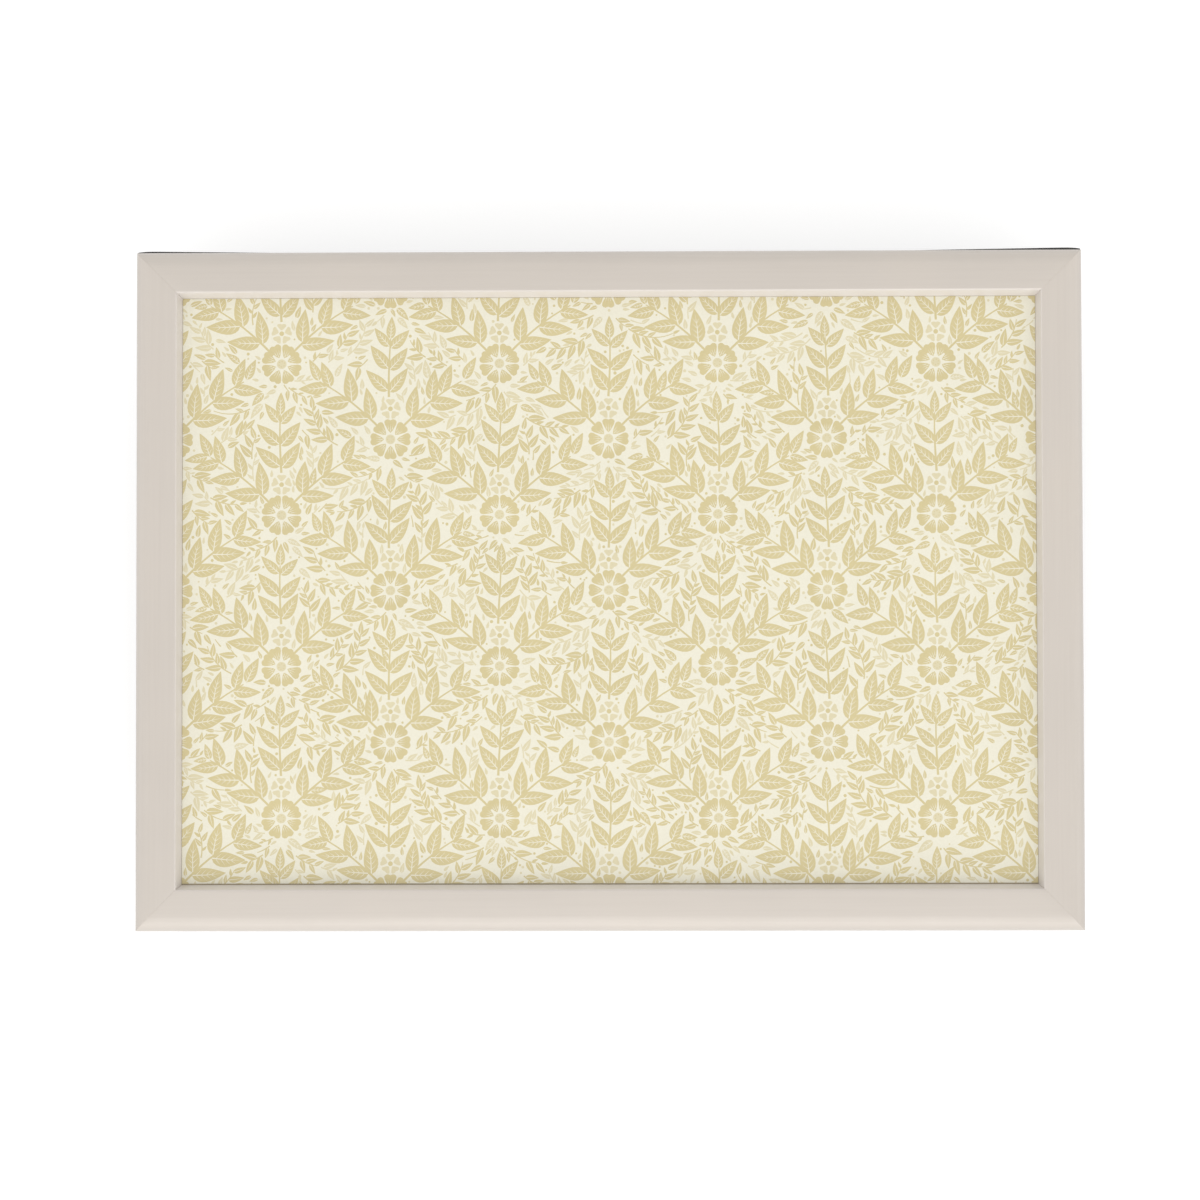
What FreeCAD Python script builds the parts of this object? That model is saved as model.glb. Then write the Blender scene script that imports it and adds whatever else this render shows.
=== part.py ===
import FreeCAD, Part
import math
import os
import Sketcher

# Lap tray with a removable cushion. Millimetres.
# x runs along the long side, y from the front rail to the back rail, z up.
# z = 0 is the cushion's flat underside, the origin is under the tray's centre.

V = FreeCAD.Vector
doc = FreeCAD.newDocument("lap_tray")

# ---------------------------------------------------------------- dimensions
SIZES = [
    # tray and moulding: u is measured inward from the outer side, v up
    ("tray_length", 440.0), ("tray_width", 316.0), ("rail_base", 53.0),
    ("rail_width", 21.5), ("rail_height", 20.0),
    ("foot_round", 0.6),
    ("side_height", 10.96), ("round_run", 7.2), ("round_top", 19.1),
    ("crown_radius", 130.0), ("crest_in", 18.66),
    ("arris_in", 19.56), ("arris_top", 19.36), ("arris_radius", 0.9),
    ("lip_top", 12.8), ("rebate_height", 12.0), ("rebate_wall", 16.5),
    # panel
    ("panel_play", 0.5), ("laminate_thick", 0.8), ("board_thick", 3.0),
    ("backing_thick", 0.4),
    # framer's points
    ("point_thick", 0.5), ("point_width", 5.0), ("point_tip", 10.0),
    ("point_shoulder", 12.5), ("point_tail", 22.5),
    ("point_pitch_long", 140.0), ("point_pitch_short", 130.0),
    # corner nails
    ("nail_thick", 0.4), ("nail_wing", 5.0), ("nail_tall", 10.0),
    ("nail_outer", 5.5), ("nail_inner", 11.0),
    # hook and loop tape
    ("tape_width", 12.0), ("tape_edge", 4.0), ("tape_thick", 1.4),
    ("tape_long", 370.0), ("tape_short", 246.0), ("tape_round", 1.5),
    ("tape_gap", 0.2),
    # staples
    ("staple_width", 10.0), ("staple_wire", 0.7), ("staple_flat", 1.0),
    ("staple_tip", 60.0), ("staple_pitch_long", 84.0),
    ("staple_pitch_short", 72.0),
    # cushion
    ("cushion_top", 50.0), ("seam_height", 46.0),
    ("cushion_length", 438.0), ("cushion_width", 314.0),
    ("cover_thick", 1.0), ("fill_play", 0.3), ("top_round", 2.5),
    ("ring_a_rise", 34.0), ("ring_a_in", 0.6), ("ring_a_round", 13.0),
    ("ring_b_rise", 22.0), ("ring_b_in", 3.6), ("ring_b_round", 17.0),
    ("ring_c_rise", 12.0), ("ring_c_in", 10.0), ("ring_c_round", 23.0),
    ("ring_d_rise", 4.5), ("ring_d_in", 20.0), ("ring_d_round", 31.0),
    ("base_in", 34.0), ("base_round", 40.0), ("seam_round", 12.0),
]
sheet = doc.addObject("Spreadsheet::Sheet", "sizes")
for row, (alias, number) in enumerate(SIZES, start=1):
    sheet.set("A%d" % row, alias)
    sheet.set("B%d" % row, repr(number))
    sheet.setAlias("B%d" % row, alias)
doc.recompute()


class Size:
    """A number together with the sheet expression that gives it."""

    def __init__(self, value, text):
        self.value = float(value)
        self.text = text

    @staticmethod
    def of(other):
        if isinstance(other, Size):
            return other
        return Size(other, repr(float(other)))

    def __add__(self, other):
        other = Size.of(other)
        return Size(self.value + other.value,
                    "(%s + %s)" % (self.text, other.text))

    def __radd__(self, other):
        return Size.of(other) + self

    def __sub__(self, other):
        other = Size.of(other)
        return Size(self.value - other.value,
                    "(%s - %s)" % (self.text, other.text))

    def __rsub__(self, other):
        return Size.of(other) - self

    def __mul__(self, other):
        other = Size.of(other)
        return Size(self.value * other.value,
                    "(%s * %s)" % (self.text, other.text))

    def __rmul__(self, other):
        return Size.of(other) * self

    def __truediv__(self, other):
        other = Size.of(other)
        return Size(self.value / other.value,
                    "(%s / %s)" % (self.text, other.text))

    def __neg__(self):
        return Size(-self.value, "(0 - %s)" % self.text)


S = {alias: Size(sheet.get(alias), "sizes.%s" % alias) for alias, _ in SIZES}


# ------------------------------------------------------------------- helpers
def bind(obj, prop, size):
    obj.setExpression(prop, Size.of(size).text)


def place(obj, x=0.0, y=0.0, z=0.0, turn=0.0):
    x, y, z = Size.of(x), Size.of(y), Size.of(z)
    obj.Placement = FreeCAD.Placement(
        V(x.value, y.value, z.value), FreeCAD.Rotation(V(0, 0, 1), turn))
    bind(obj, "Placement.Base.x", x)
    bind(obj, "Placement.Base.y", y)
    bind(obj, "Placement.Base.z", z)


def new_body(name, several=False):
    body = doc.addObject("PartDesign::Body", name)
    body.Label = name
    if several:
        body.AllowCompound = True
    return body


def new_sketch(body, name, role="XY_Plane", rise=None):
    plane = [o for o in body.Origin.OriginFeatures if o.Role == role][0]
    sketch = body.newObject("Sketcher::SketchObject", name)
    sketch.AttachmentSupport = [(plane, "")]
    sketch.MapMode = "FlatFace"
    if rise is not None:
        rise = Size.of(rise)
        sketch.AttachmentOffset = FreeCAD.Placement(
            V(0, 0, rise.value), FreeCAD.Rotation())
        bind(sketch, "AttachmentOffset.Base.z", rise)
    return sketch


def pin_axis(sketch, kind, geo, pos, size):
    """Hold one coordinate of a point at a size, measured from the origin."""
    size = Size.of(size)
    if abs(size.value) < 1e-9:
        axis = -2 if kind == "DistanceX" else -1
        sketch.addConstraint(
            Sketcher.Constraint("PointOnObject", geo, pos, axis))
        return
    if size.value > 0:
        index = sketch.addConstraint(
            Sketcher.Constraint(kind, -1, 1, geo, pos, size.value))
        bind(sketch, "Constraints[%d]" % index, size)
    else:
        index = sketch.addConstraint(
            Sketcher.Constraint(kind, geo, pos, -1, 1, -size.value))
        bind(sketch, "Constraints[%d]" % index, -size)


def outline(sketch, points, arcs=None):
    """A closed outline, walked anticlockwise. arcs maps the index of an
    edge to its radius; every arc bulges outward."""
    arcs = arcs or {}
    points = [(Size.of(x), Size.of(y)) for x, y in points]
    first = sketch.GeometryCount
    count = len(points)
    for i in range(count):
        a, b = points[i], points[(i + 1) % count]
        pa, pb = V(a[0].value, a[1].value, 0), V(b[0].value, b[1].value, 0)
        if i in arcs:
            chord = pb - pa
            half = chord.Length / 2.0
            radius = arcs[i].value
            bulge = radius - math.sqrt(radius * radius - half * half)
            out = V(chord.y, -chord.x, 0).normalize()
            middle = (pa + pb) * 0.5 + out * bulge
            sketch.addGeometry(Part.Arc(pa, middle, pb), False)
        else:
            sketch.addGeometry(Part.LineSegment(pa, pb), False)
    for i in range(count):
        sketch.addConstraint(Sketcher.Constraint(
            "Coincident", first + i, 2, first + (i + 1) % count, 1))
    for i in range(count):
        pin_axis(sketch, "DistanceX", first + i, 1, points[i][0])
        pin_axis(sketch, "DistanceY", first + i, 1, points[i][1])
    for i, radius in arcs.items():
        index = sketch.addConstraint(
            Sketcher.Constraint("Radius", first + i, radius.value))
        bind(sketch, "Constraints[%d]" % index, radius)


def rectangle(sketch, x0, y0, x1, y1):
    outline(sketch, [(x0, y0), (x1, y0), (x1, y1), (x0, y1)])


def round_rectangle(sketch, length, width, radius):
    """A centred rectangle with rounded corners."""
    length, width, radius = Size.of(length), Size.of(width), Size.of(radius)
    a, b, r = length.value / 2, width.value / 2, radius.value
    up = V(0, 0, 1)

    def line(x0, y0, x1, y1):
        return sketch.addGeometry(
            Part.LineSegment(V(x0, y0, 0), V(x1, y1, 0)), False)

    def arc(cx, cy, start):
        return sketch.addGeometry(Part.ArcOfCircle(
            Part.Circle(V(cx, cy, 0), up, r),
            math.radians(start), math.radians(start + 90)), False)

    front = line(-a + r, -b, a - r, -b)
    c0 = arc(a - r, -b + r, -90)
    right = line(a, -b + r, a, b - r)
    c1 = arc(a - r, b - r, 0)
    back = line(a - r, b, -a + r, b)
    c2 = arc(-a + r, b - r, 90)
    left = line(-a, b - r, -a, -b + r)
    c3 = arc(-a + r, -b + r, 180)
    loop = [front, c0, right, c1, back, c2, left, c3]
    for i in range(8):
        sketch.addConstraint(Sketcher.Constraint(
            "Tangent", loop[i], 2, loop[(i + 1) % 8], 1))
    for geo in (front, back):
        sketch.addConstraint(Sketcher.Constraint("Horizontal", geo))
    for geo in (right, left):
        sketch.addConstraint(Sketcher.Constraint("Vertical", geo))
    for one, two in ((c0, c1), (c1, c2), (c2, c3)):
        sketch.addConstraint(Sketcher.Constraint("Equal", one, two))
    pin_axis(sketch, "DistanceX", right, 1, length / 2)
    pin_axis(sketch, "DistanceX", left, 1, -(length / 2))
    pin_axis(sketch, "DistanceY", back, 1, width / 2)
    pin_axis(sketch, "DistanceY", front, 1, -(width / 2))
    index = sketch.addConstraint(Sketcher.Constraint("Radius", c0, r))
    bind(sketch, "Constraints[%d]" % index, radius)


def pad(body, sketch, name, length, symmetric=False):
    feature = body.newObject("PartDesign::Pad", name)
    feature.Profile = sketch
    feature.SideType = "Symmetric" if symmetric else "One side"
    feature.Length = Size.of(length).value
    bind(feature, "Length", length)
    body.Tip = feature
    return feature


def edges_where(shape, test):
    return ["Edge%d" % (i + 1) for i, e in enumerate(shape.Edges) if test(e)]


def round_edges(body, base, name, radius, test):
    doc.recompute()
    feature = body.newObject("PartDesign::Fillet", name)
    feature.Base = (base, edges_where(base.Shape, test))
    feature.Radius = Size.of(radius).value
    bind(feature, "Radius", radius)
    body.Tip = feature
    return feature


def box(name, length, width, height, x, y, z):
    """A plain block, given its size and its lowest corner."""
    block = doc.addObject("Part::Box", name)
    block.Label = name
    bind(block, "Length", length)
    bind(block, "Width", width)
    bind(block, "Height", height)
    place(block, x, y, z)
    return block


def cut(name, base, tool):
    feature = doc.addObject("Part::Cut", name)
    feature.Label = name
    feature.Base = base
    feature.Tool = tool
    feature.Refine = True
    return feature


half_l = S["tray_length"] / 2
half_w = S["tray_width"] / 2
panel_top = S["rail_base"] + S["rebate_height"]
board_top = panel_top - S["laminate_thick"]
backing_top = board_top - S["board_thick"]
point_top = backing_top - S["backing_thick"]
hook_base = S["rail_base"] - S["tape_thick"]
exports = []


# ------------------------------------------------------------- frame rails
def rail_form(name, length, x, y, turn):
    """One length of moulding, mitred at both ends."""
    body = new_body(name)
    profile = new_sketch(body, name + "_profile", "YZ_Plane")
    round_rise = S["round_top"] - S["side_height"]
    round_radius = (S["round_run"] * S["round_run"]
                    + round_rise * round_rise) / (2 * S["round_run"])
    outline(profile, [
        (S["foot_round"], 0.0),
        (S["rebate_wall"], 0.0),
        (S["rebate_wall"], S["rebate_height"]),
        (S["rail_width"], S["rebate_height"]),
        (S["rail_width"], S["lip_top"]),
        (S["arris_in"], S["arris_top"]),
        (S["crest_in"], S["rail_height"]),
        (S["round_run"], S["round_top"]),
        (0.0, S["side_height"]),
        (0.0, S["foot_round"]),
    ], {5: S["arris_radius"], 6: S["crown_radius"], 7: round_radius,
        9: S["foot_round"]})
    run = pad(body, profile, name + "_run", length, symmetric=True)
    mitre = new_sketch(body, name + "_mitre")
    end = length / 2
    deep = S["rail_width"] + 1.0
    outline(mitre, [(end + 1.0, -1.0), (end + 1.0, deep), (end - deep, deep)])
    outline(mitre, [(-end - 1.0, -1.0), (-end + deep, deep),
                    (-end - 1.0, deep)])
    pocket = body.newObject("PartDesign::Pocket", name + "_mitres")
    pocket.Profile = mitre
    pocket.SideType = "Symmetric"
    pocket.Type = "Length"
    bind(pocket, "Length", S["rail_height"] * 3)
    body.Tip = pocket
    place(body, x, y, S["rail_base"], turn)
    return body


rail_bodies = {
    "front": rail_form("front_rail_form", S["tray_length"], 0.0, -half_w, 0),
    "right": rail_form("right_rail_form", S["tray_width"], half_l, 0.0, 90),
    "back": rail_form("back_rail_form", S["tray_length"], 0.0, half_w, 180),
    "left": rail_form("left_rail_form", S["tray_width"], -half_l, 0.0, 270),
}

# ------------------------------------------- corner nails, driven from below
nails = new_body("corner_v_nails", several=True)
nail_plan = new_sketch(nails, "corner_v_nails_plan")
for sx in (-1, 1):
    for sy in (-1, 1):
        for apex in (S["nail_outer"], S["nail_inner"]):
            far = apex + S["nail_wing"]
            near = apex + S["nail_thick"]
            # an L in plan, its corner on the mitre, a wing in each rail
            ring = [(apex, apex), (far, apex), (far, near), (near, near),
                    (near, far), (apex, far)]
            ring = [((half_l - p) * sx, (half_w - q) * sy) for p, q in ring]
            if sx * sy < 0:
                ring.reverse()
            outline(nail_plan, ring)
pad(nails, nail_plan, "corner_v_nails_run", S["nail_tall"])
place(nails, 0.0, 0.0, S["rail_base"])

# ---------------------------------------------- points that hold the panel
points = new_body("panel_points", several=True)
points_plan = new_sketch(points, "panel_points_plan")
half_point = S["point_width"] / 2


def point_ring(along):
    return [(along - half_point, S["point_tail"]),
            (along - half_point, S["point_shoulder"]),
            (along, S["point_tip"]),
            (along + half_point, S["point_shoulder"]),
            (along + half_point, S["point_tail"])]


for step in (-1, 0, 1):
    ring = point_ring(S["point_pitch_long"] * step)
    outline(points_plan, [(a, u - half_w) for a, u in ring])
    outline(points_plan, [(-a, half_w - u) for a, u in ring])
for step in (-0.5, 0.5):
    ring = point_ring(S["point_pitch_short"] * step)
    outline(points_plan, [(half_l - u, a) for a, u in ring])
    outline(points_plan, [(u - half_l, -a) for a, u in ring])
pad(points, points_plan, "panel_points_run", S["point_thick"])
place(points, 0.0, 0.0, point_top - S["point_thick"])

# ------------------------------------------------------------------ staples
staples = new_body("strip_staples", several=True)
crowns = new_sketch(staples, "strip_staples_crowns")
legs = new_sketch(staples, "strip_staples_legs", rise=S["staple_wire"])
tape_mid = S["tape_edge"] + S["tape_width"] / 2
half_crown = S["staple_width"] / 2
half_flat = S["staple_flat"] / 2
spots = []
for step in (-2, -1, 0, 1, 2):
    spots += [("x", S["staple_pitch_long"] * step, tape_mid - half_w),
              ("x", S["staple_pitch_long"] * step, half_w - tape_mid)]
for step in (-1.5, -0.5, 0.5, 1.5):
    spots += [("y", S["staple_pitch_short"] * step, tape_mid - half_l),
              ("y", S["staple_pitch_short"] * step, half_l - tape_mid)]
for run, along, across in spots:
    spans = ((crowns, along - half_crown, along + half_crown),
             (legs, along - half_crown, along - half_crown + S["staple_wire"]),
             (legs, along + half_crown - S["staple_wire"], along + half_crown))
    for plan, low, high in spans:
        if run == "x":
            rectangle(plan, low, across - half_flat, high, across + half_flat)
        else:
            rectangle(plan, across - half_flat, low, across + half_flat, high)
pad(staples, crowns, "strip_staples_crown_run", S["staple_wire"])
pad(staples, legs, "strip_staples_leg_run",
    S["staple_tip"] - hook_base - S["staple_wire"])
place(staples, 0.0, 0.0, hook_base)

metal = doc.addObject("Part::Compound", "fasteners")
metal.Links = [nails, points, staples]
for side in ("front", "back", "left", "right"):
    exports.append(cut(side + "_rail", rail_bodies[side], metal))
exports += [nails, points, staples]

# -------------------------------------------------------------------- panel
inset = S["rebate_wall"] + S["panel_play"]
panel_l = S["tray_length"] - 2 * inset
panel_w = S["tray_width"] - 2 * inset
sight_l = S["tray_length"] - 2 * S["rail_width"]
sight_w = S["tray_width"] - 2 * S["rail_width"]
exports.append(box("panel_board", panel_l, panel_w, S["board_thick"],
                   -panel_l / 2, -panel_w / 2, backing_top))
exports.append(box("backing_sheet", panel_l, panel_w, S["backing_thick"],
                   -panel_l / 2, -panel_w / 2, point_top))
# the printed sheet, with the outline of the part in sight marked on it
sheet_whole = box("laminate_whole", panel_l, panel_w, S["laminate_thick"],
                  -panel_l / 2, -panel_w / 2, board_top)
sheet_sight = box("laminate_sight", sight_l, sight_w, S["laminate_thick"],
                  -sight_l / 2, -sight_w / 2, board_top)
sheet_margin = cut("laminate_margin", sheet_whole, sheet_sight)
laminate = doc.addObject("Part::Fuse", "decor_laminate")
laminate.Label = "decor_laminate"
laminate.Base = sheet_margin
laminate.Tool = sheet_sight
laminate.Refine = False
exports.append(laminate)


# ------------------------------------------------------- hook and loop tape
def tape(name, length, x, y, z, turn):
    body = new_body(name)
    plan = new_sketch(body, name + "_plan")
    round_rectangle(plan, length, S["tape_width"], S["tape_round"])
    pad(body, plan, name + "_run", S["tape_thick"])
    place(body, x, y, z, turn)
    return body


tape_places = {
    "front": (S["tape_long"], 0.0, tape_mid - half_w, 0),
    "back": (S["tape_long"], 0.0, half_w - tape_mid, 180),
    "right": (S["tape_short"], half_l - tape_mid, 0.0, 90),
    "left": (S["tape_short"], tape_mid - half_l, 0.0, 270),
}
loop_base = hook_base - S["tape_gap"] - S["tape_thick"]
for side, (length, x, y, turn) in tape_places.items():
    form = tape("hook_tape_" + side, length, x, y, hook_base, turn)
    exports.append(cut("hook_strip_" + side, form, staples))
    exports.append(tape("loop_strip_" + side, length, x, y, loop_base, turn))

# ------------------------------------------------------------------ cushion
RINGS = [("base_in", None, "base_round"),
         ("ring_d_in", "ring_d_rise", "ring_d_round"),
         ("ring_c_in", "ring_c_rise", "ring_c_round"),
         ("ring_b_in", "ring_b_rise", "ring_b_round"),
         ("ring_a_in", "ring_a_rise", "ring_a_round"),
         (None, "seam_height", "seam_round")]


def bag(name, skin):
    """The bag below the seam, drawn in by skin on every side."""
    body = new_body(name)
    skin = Size.of(skin)
    rings = []
    for i, (inward, rise, radius) in enumerate(RINGS):
        draw = skin + (S[inward] if inward else 0.0)
        level = S[rise] if rise else Size.of(0.0)
        lift = skin * (1.0 - level / S["seam_height"])
        plan = new_sketch(body, "%s_ring_%d" % (name, i), rise=level + lift)
        round_rectangle(plan, S["cushion_length"] - 2 * draw,
                        S["cushion_width"] - 2 * draw, S[radius] - skin)
        rings.append(plan)
    doc.recompute()
    loft = body.newObject("PartDesign::AdditiveLoft", name + "_loft")
    loft.Profile = rings[0]
    loft.Sections = rings[1:]
    loft.Ruled = True
    loft.Closed = False
    body.Tip = loft
    return body, loft


def lid(body, name, skin):
    """The cushion's top, above the seam, drawn in by skin."""
    skin = Size.of(skin)
    plan = new_sketch(body, name + "_lid_plan", rise=S["seam_height"])
    round_rectangle(plan, S["cushion_length"] - 2 * skin,
                    S["cushion_width"] - 2 * skin, S["seam_round"] - skin)
    rise = S["cushion_top"] - S["seam_height"] - skin
    block = pad(body, plan, name + "_lid_run", rise)
    top = S["cushion_top"].value - skin.value
    return round_edges(
        body, block, name + "_lid_round", S["top_round"] - skin,
        lambda e: e.BoundBox.ZMin > top - 1e-4)


bag_out, _ = bag("bag_outside", 0.0)
bag_in, _ = bag("bag_inside", S["cover_thick"])
exports.append(cut("cover_bottom", bag_out, bag_in))

lid_out = new_body("lid_outside")
lid(lid_out, "lid_outside", 0.0)
lid_in = new_body("lid_inside")
lid(lid_in, "lid_inside", S["cover_thick"])
exports.append(cut("cover_top", lid_out, lid_in))

fill_skin = S["cover_thick"] + S["fill_play"]
fill, _ = bag("bead_fill", fill_skin)
lid(fill, "bead_fill", fill_skin)
exports.append(fill)

# ------------------------------------------------------------------- export
doc.recompute()
for obj in doc.Objects:
    if "Invalid" in obj.State or "Error" in obj.State:
        raise RuntimeError("%s is %s" % (obj.Label, obj.State))
    if obj.isDerivedFrom("Sketcher::SketchObject") and obj.solve() != 0:
        raise RuntimeError("%s does not solve" % obj.Label)
os.makedirs("parts", exist_ok=True)
for obj in exports:
    shape = obj.Shape
    if shape.isNull() or not shape.isValid() or not shape.Solids:
        raise RuntimeError("%s has no sound shape" % obj.Label)
    size = shape.BoundBox
    print("%-18s %2d solids %10.1f mm3  x %.2f..%.2f y %.2f..%.2f z %.2f..%.2f"
          % (obj.Label, len(shape.Solids), shape.Volume, size.XMin, size.XMax,
             size.YMin, size.YMax, size.ZMin, size.ZMax))
    shape.exportStep("parts/%s.step" % obj.Label)
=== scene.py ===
import math
import random

import bpy
import numpy as np
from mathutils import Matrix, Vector, noise
from mathutils.geometry import delaunay_2d_cdt


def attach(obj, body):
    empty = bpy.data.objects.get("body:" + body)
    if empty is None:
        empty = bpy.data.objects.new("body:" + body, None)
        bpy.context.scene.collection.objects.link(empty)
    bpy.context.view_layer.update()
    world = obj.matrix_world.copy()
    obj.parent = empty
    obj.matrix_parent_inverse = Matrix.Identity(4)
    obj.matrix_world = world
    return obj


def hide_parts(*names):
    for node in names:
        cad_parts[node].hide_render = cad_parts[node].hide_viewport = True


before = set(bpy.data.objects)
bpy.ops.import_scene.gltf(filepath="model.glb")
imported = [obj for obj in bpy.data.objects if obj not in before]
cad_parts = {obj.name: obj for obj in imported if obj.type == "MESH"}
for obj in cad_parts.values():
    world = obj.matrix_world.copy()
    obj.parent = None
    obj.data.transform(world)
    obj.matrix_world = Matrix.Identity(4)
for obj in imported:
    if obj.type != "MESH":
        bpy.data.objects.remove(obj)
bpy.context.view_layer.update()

MM = 0.001
scene = bpy.context.scene

# --------------------------------------------------------------------------
# Sizes, in millimetres: the same frame as the construction
# --------------------------------------------------------------------------
HALF_X, HALF_Y = 220.0, 158.0           # outside of the frame of rails
RAIL_Z = 53.0                           # underside of the rails
SHEET_X, SHEET_Y = 203.0, 141.0         # printed panel, half sizes
SHEET_Z0, SHEET_Z1 = 64.2, 65.0         # printed sheet
SIGHT_X, SIGHT_Y = 198.5, 136.5         # its part between the rails
TAPE = 12.0                             # width of the hook and loop tape
TAPE_LONG, TAPE_SHORT = 370.0, 246.0    # lengths of the tapes
TAPE_Y, TAPE_X = 148.0, 210.0           # their centre lines
HOOK_Z0, HOOK_Z1 = 51.6, 53.0
LOOP_Z0, LOOP_Z1 = 50.0, 51.4
SEAM_Z = 46.0


# --------------------------------------------------------------------------
# Small helpers
# --------------------------------------------------------------------------
def lin(r, g, b):
    """A colour given as 0-255 sRGB, as the shader wants it."""
    out = []
    for c in (r, g, b):
        c /= 255.0
        out.append(c / 12.92 if c <= 0.04045 else ((c + 0.055) / 1.055) ** 2.4)
    return (*out, 1.0)


def smooth01(x):
    x = np.clip(x, 0.0, 1.0)
    return x * x * (3.0 - 2.0 * x)


def new_mesh(name, verts, faces, mats, index=None, smooth=None, uv=None, spread=None):
    """A mesh object from millimetres. uv holds, per corner, a place on the
    sheet that the finish is laid out on; spread lays it out by x and y."""
    verts = np.asarray(verts, float)
    mesh = bpy.data.meshes.new(name)
    mesh.from_pydata((verts * MM).tolist(), [],
                     faces.tolist() if isinstance(faces, np.ndarray) else faces)
    for m in mats:
        mesh.materials.append(m)
    if index is not None:
        mesh.polygons.foreach_set("material_index", np.asarray(index, np.int32))
    for layer_name, values in (uv or {}).items():
        layer = mesh.uv_layers.new(name=layer_name)
        layer.data.foreach_set("uv", np.asarray(values, np.float32).ravel())
    if spread is not None:
        corner = np.empty(len(mesh.loops), np.int32)
        mesh.loops.foreach_get("vertex_index", corner)
        flat = verts[:, :2]
        lo, hi = flat.min(0), flat.max(0)
        flat = spread + (1 - 2 * spread) * (flat - lo) / (hi - lo).max()
        layer = mesh.uv_layers.new(name="OFBake")
        layer.data.foreach_set("uv", flat[corner].astype(np.float32).ravel())
    mesh.update()
    if smooth is not None:
        mesh.polygons.foreach_set("use_smooth", [True] * len(mesh.polygons))
        if smooth < 179:
            mesh.set_sharp_from_angle(angle=math.radians(smooth))
    obj = bpy.data.objects.new(name, mesh)
    scene.collection.objects.link(obj)
    return obj


class Look:
    """A material, with short ways to add nodes to it."""

    def __init__(self, name, **sockets):
        self.mat = bpy.data.materials.new(name)
        self.mat.use_nodes = True
        self.tree = self.mat.node_tree
        self.shader = self.tree.nodes["Principled BSDF"]
        self.where = None
        for key, value in sockets.items():
            self.shader.inputs[key.replace("_", " ")].default_value = value

    def add(self, kind, **props):
        node = self.tree.nodes.new("ShaderNode" + kind)
        for key, value in props.items():
            setattr(node, key, value)
        return node

    def wire(self, out, into):
        self.tree.links.new(out, into)

    def place(self, scale=(1, 1, 1), uv=None, turn=(0, 0, 0)):
        """Object coordinates (or a named layout), scaled."""
        if uv:
            source = self.add("UVMap", uv_map=uv).outputs["UV"]
        else:
            if self.where is None:
                self.where = self.add("TexCoord").outputs["Object"]
            source = self.where
        at = self.add("Mapping")
        at.inputs["Scale"].default_value = scale
        at.inputs["Rotation"].default_value = turn
        self.wire(source, at.inputs["Vector"])
        return at.outputs["Vector"]

    def noise(self, vector, scale, detail=3.0, rough=0.5, distortion=0.0):
        n = self.add("TexNoise")
        n.inputs["Scale"].default_value = scale
        n.inputs["Detail"].default_value = detail
        n.inputs["Roughness"].default_value = rough
        n.inputs["Distortion"].default_value = distortion
        self.wire(vector, n.inputs["Vector"])
        return n.outputs["Fac"]

    def ramp(self, value, *stops, ease="LINEAR"):
        r = self.add("ValToRGB")
        r.color_ramp.interpolation = ease
        while len(r.color_ramp.elements) < len(stops):
            r.color_ramp.elements.new(0.5)
        for e, (at, colour) in zip(r.color_ramp.elements, stops):
            e.position = at
            e.color = colour
        self.wire(value, r.inputs["Fac"])
        return r.outputs["Color"]

    def span(self, value, low, high, lo=0.0, hi=1.0):
        r = self.add("MapRange")
        r.inputs["From Min"].default_value = lo
        r.inputs["From Max"].default_value = hi
        r.inputs["To Min"].default_value = low
        r.inputs["To Max"].default_value = high
        self.wire(value, r.inputs["Value"])
        return r.outputs["Result"]

    def math(self, op, a, b=None):
        m = self.add("Math", operation=op)
        for k, x in enumerate((a, b)):
            if x is None:
                continue
            if isinstance(x, (int, float)):
                m.inputs[k].default_value = x
            else:
                self.wire(x, m.inputs[k])
        return m.outputs["Value"]

    def blend(self, fac, a, b, mode="MIX"):
        m = self.add("Mix", data_type="RGBA", blend_type=mode)
        sockets = {s.identifier: s for s in m.inputs}
        for key, x in (("Factor_Float", fac), ("A_Color", a), ("B_Color", b)):
            if isinstance(x, (int, float, tuple)):
                sockets[key].default_value = x
            else:
                self.wire(x, sockets[key])
        return {s.identifier: s for s in m.outputs}["Result_Color"]

    def colour(self, out):
        self.wire(out, self.shader.inputs["Base Color"])

    def rough(self, out):
        self.wire(out, self.shader.inputs["Roughness"])

    def bump(self, height, strength, distance, after=None):
        b = self.add("Bump")
        b.inputs["Strength"].default_value = strength
        b.inputs["Distance"].default_value = distance
        self.wire(height, b.inputs["Height"])
        if after is not None:
            self.wire(after, b.inputs["Normal"])
        self.wire(b.outputs["Normal"], self.shader.inputs["Normal"])
        return b.outputs["Normal"]


def shade(colour, by):
    return tuple(min(1.0, c * by) for c in colour[:3]) + (1.0,)


# --------------------------------------------------------------------------
# Finishes
# --------------------------------------------------------------------------
PAINT = (0.540, 0.494, 0.448, 1.0)


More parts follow.
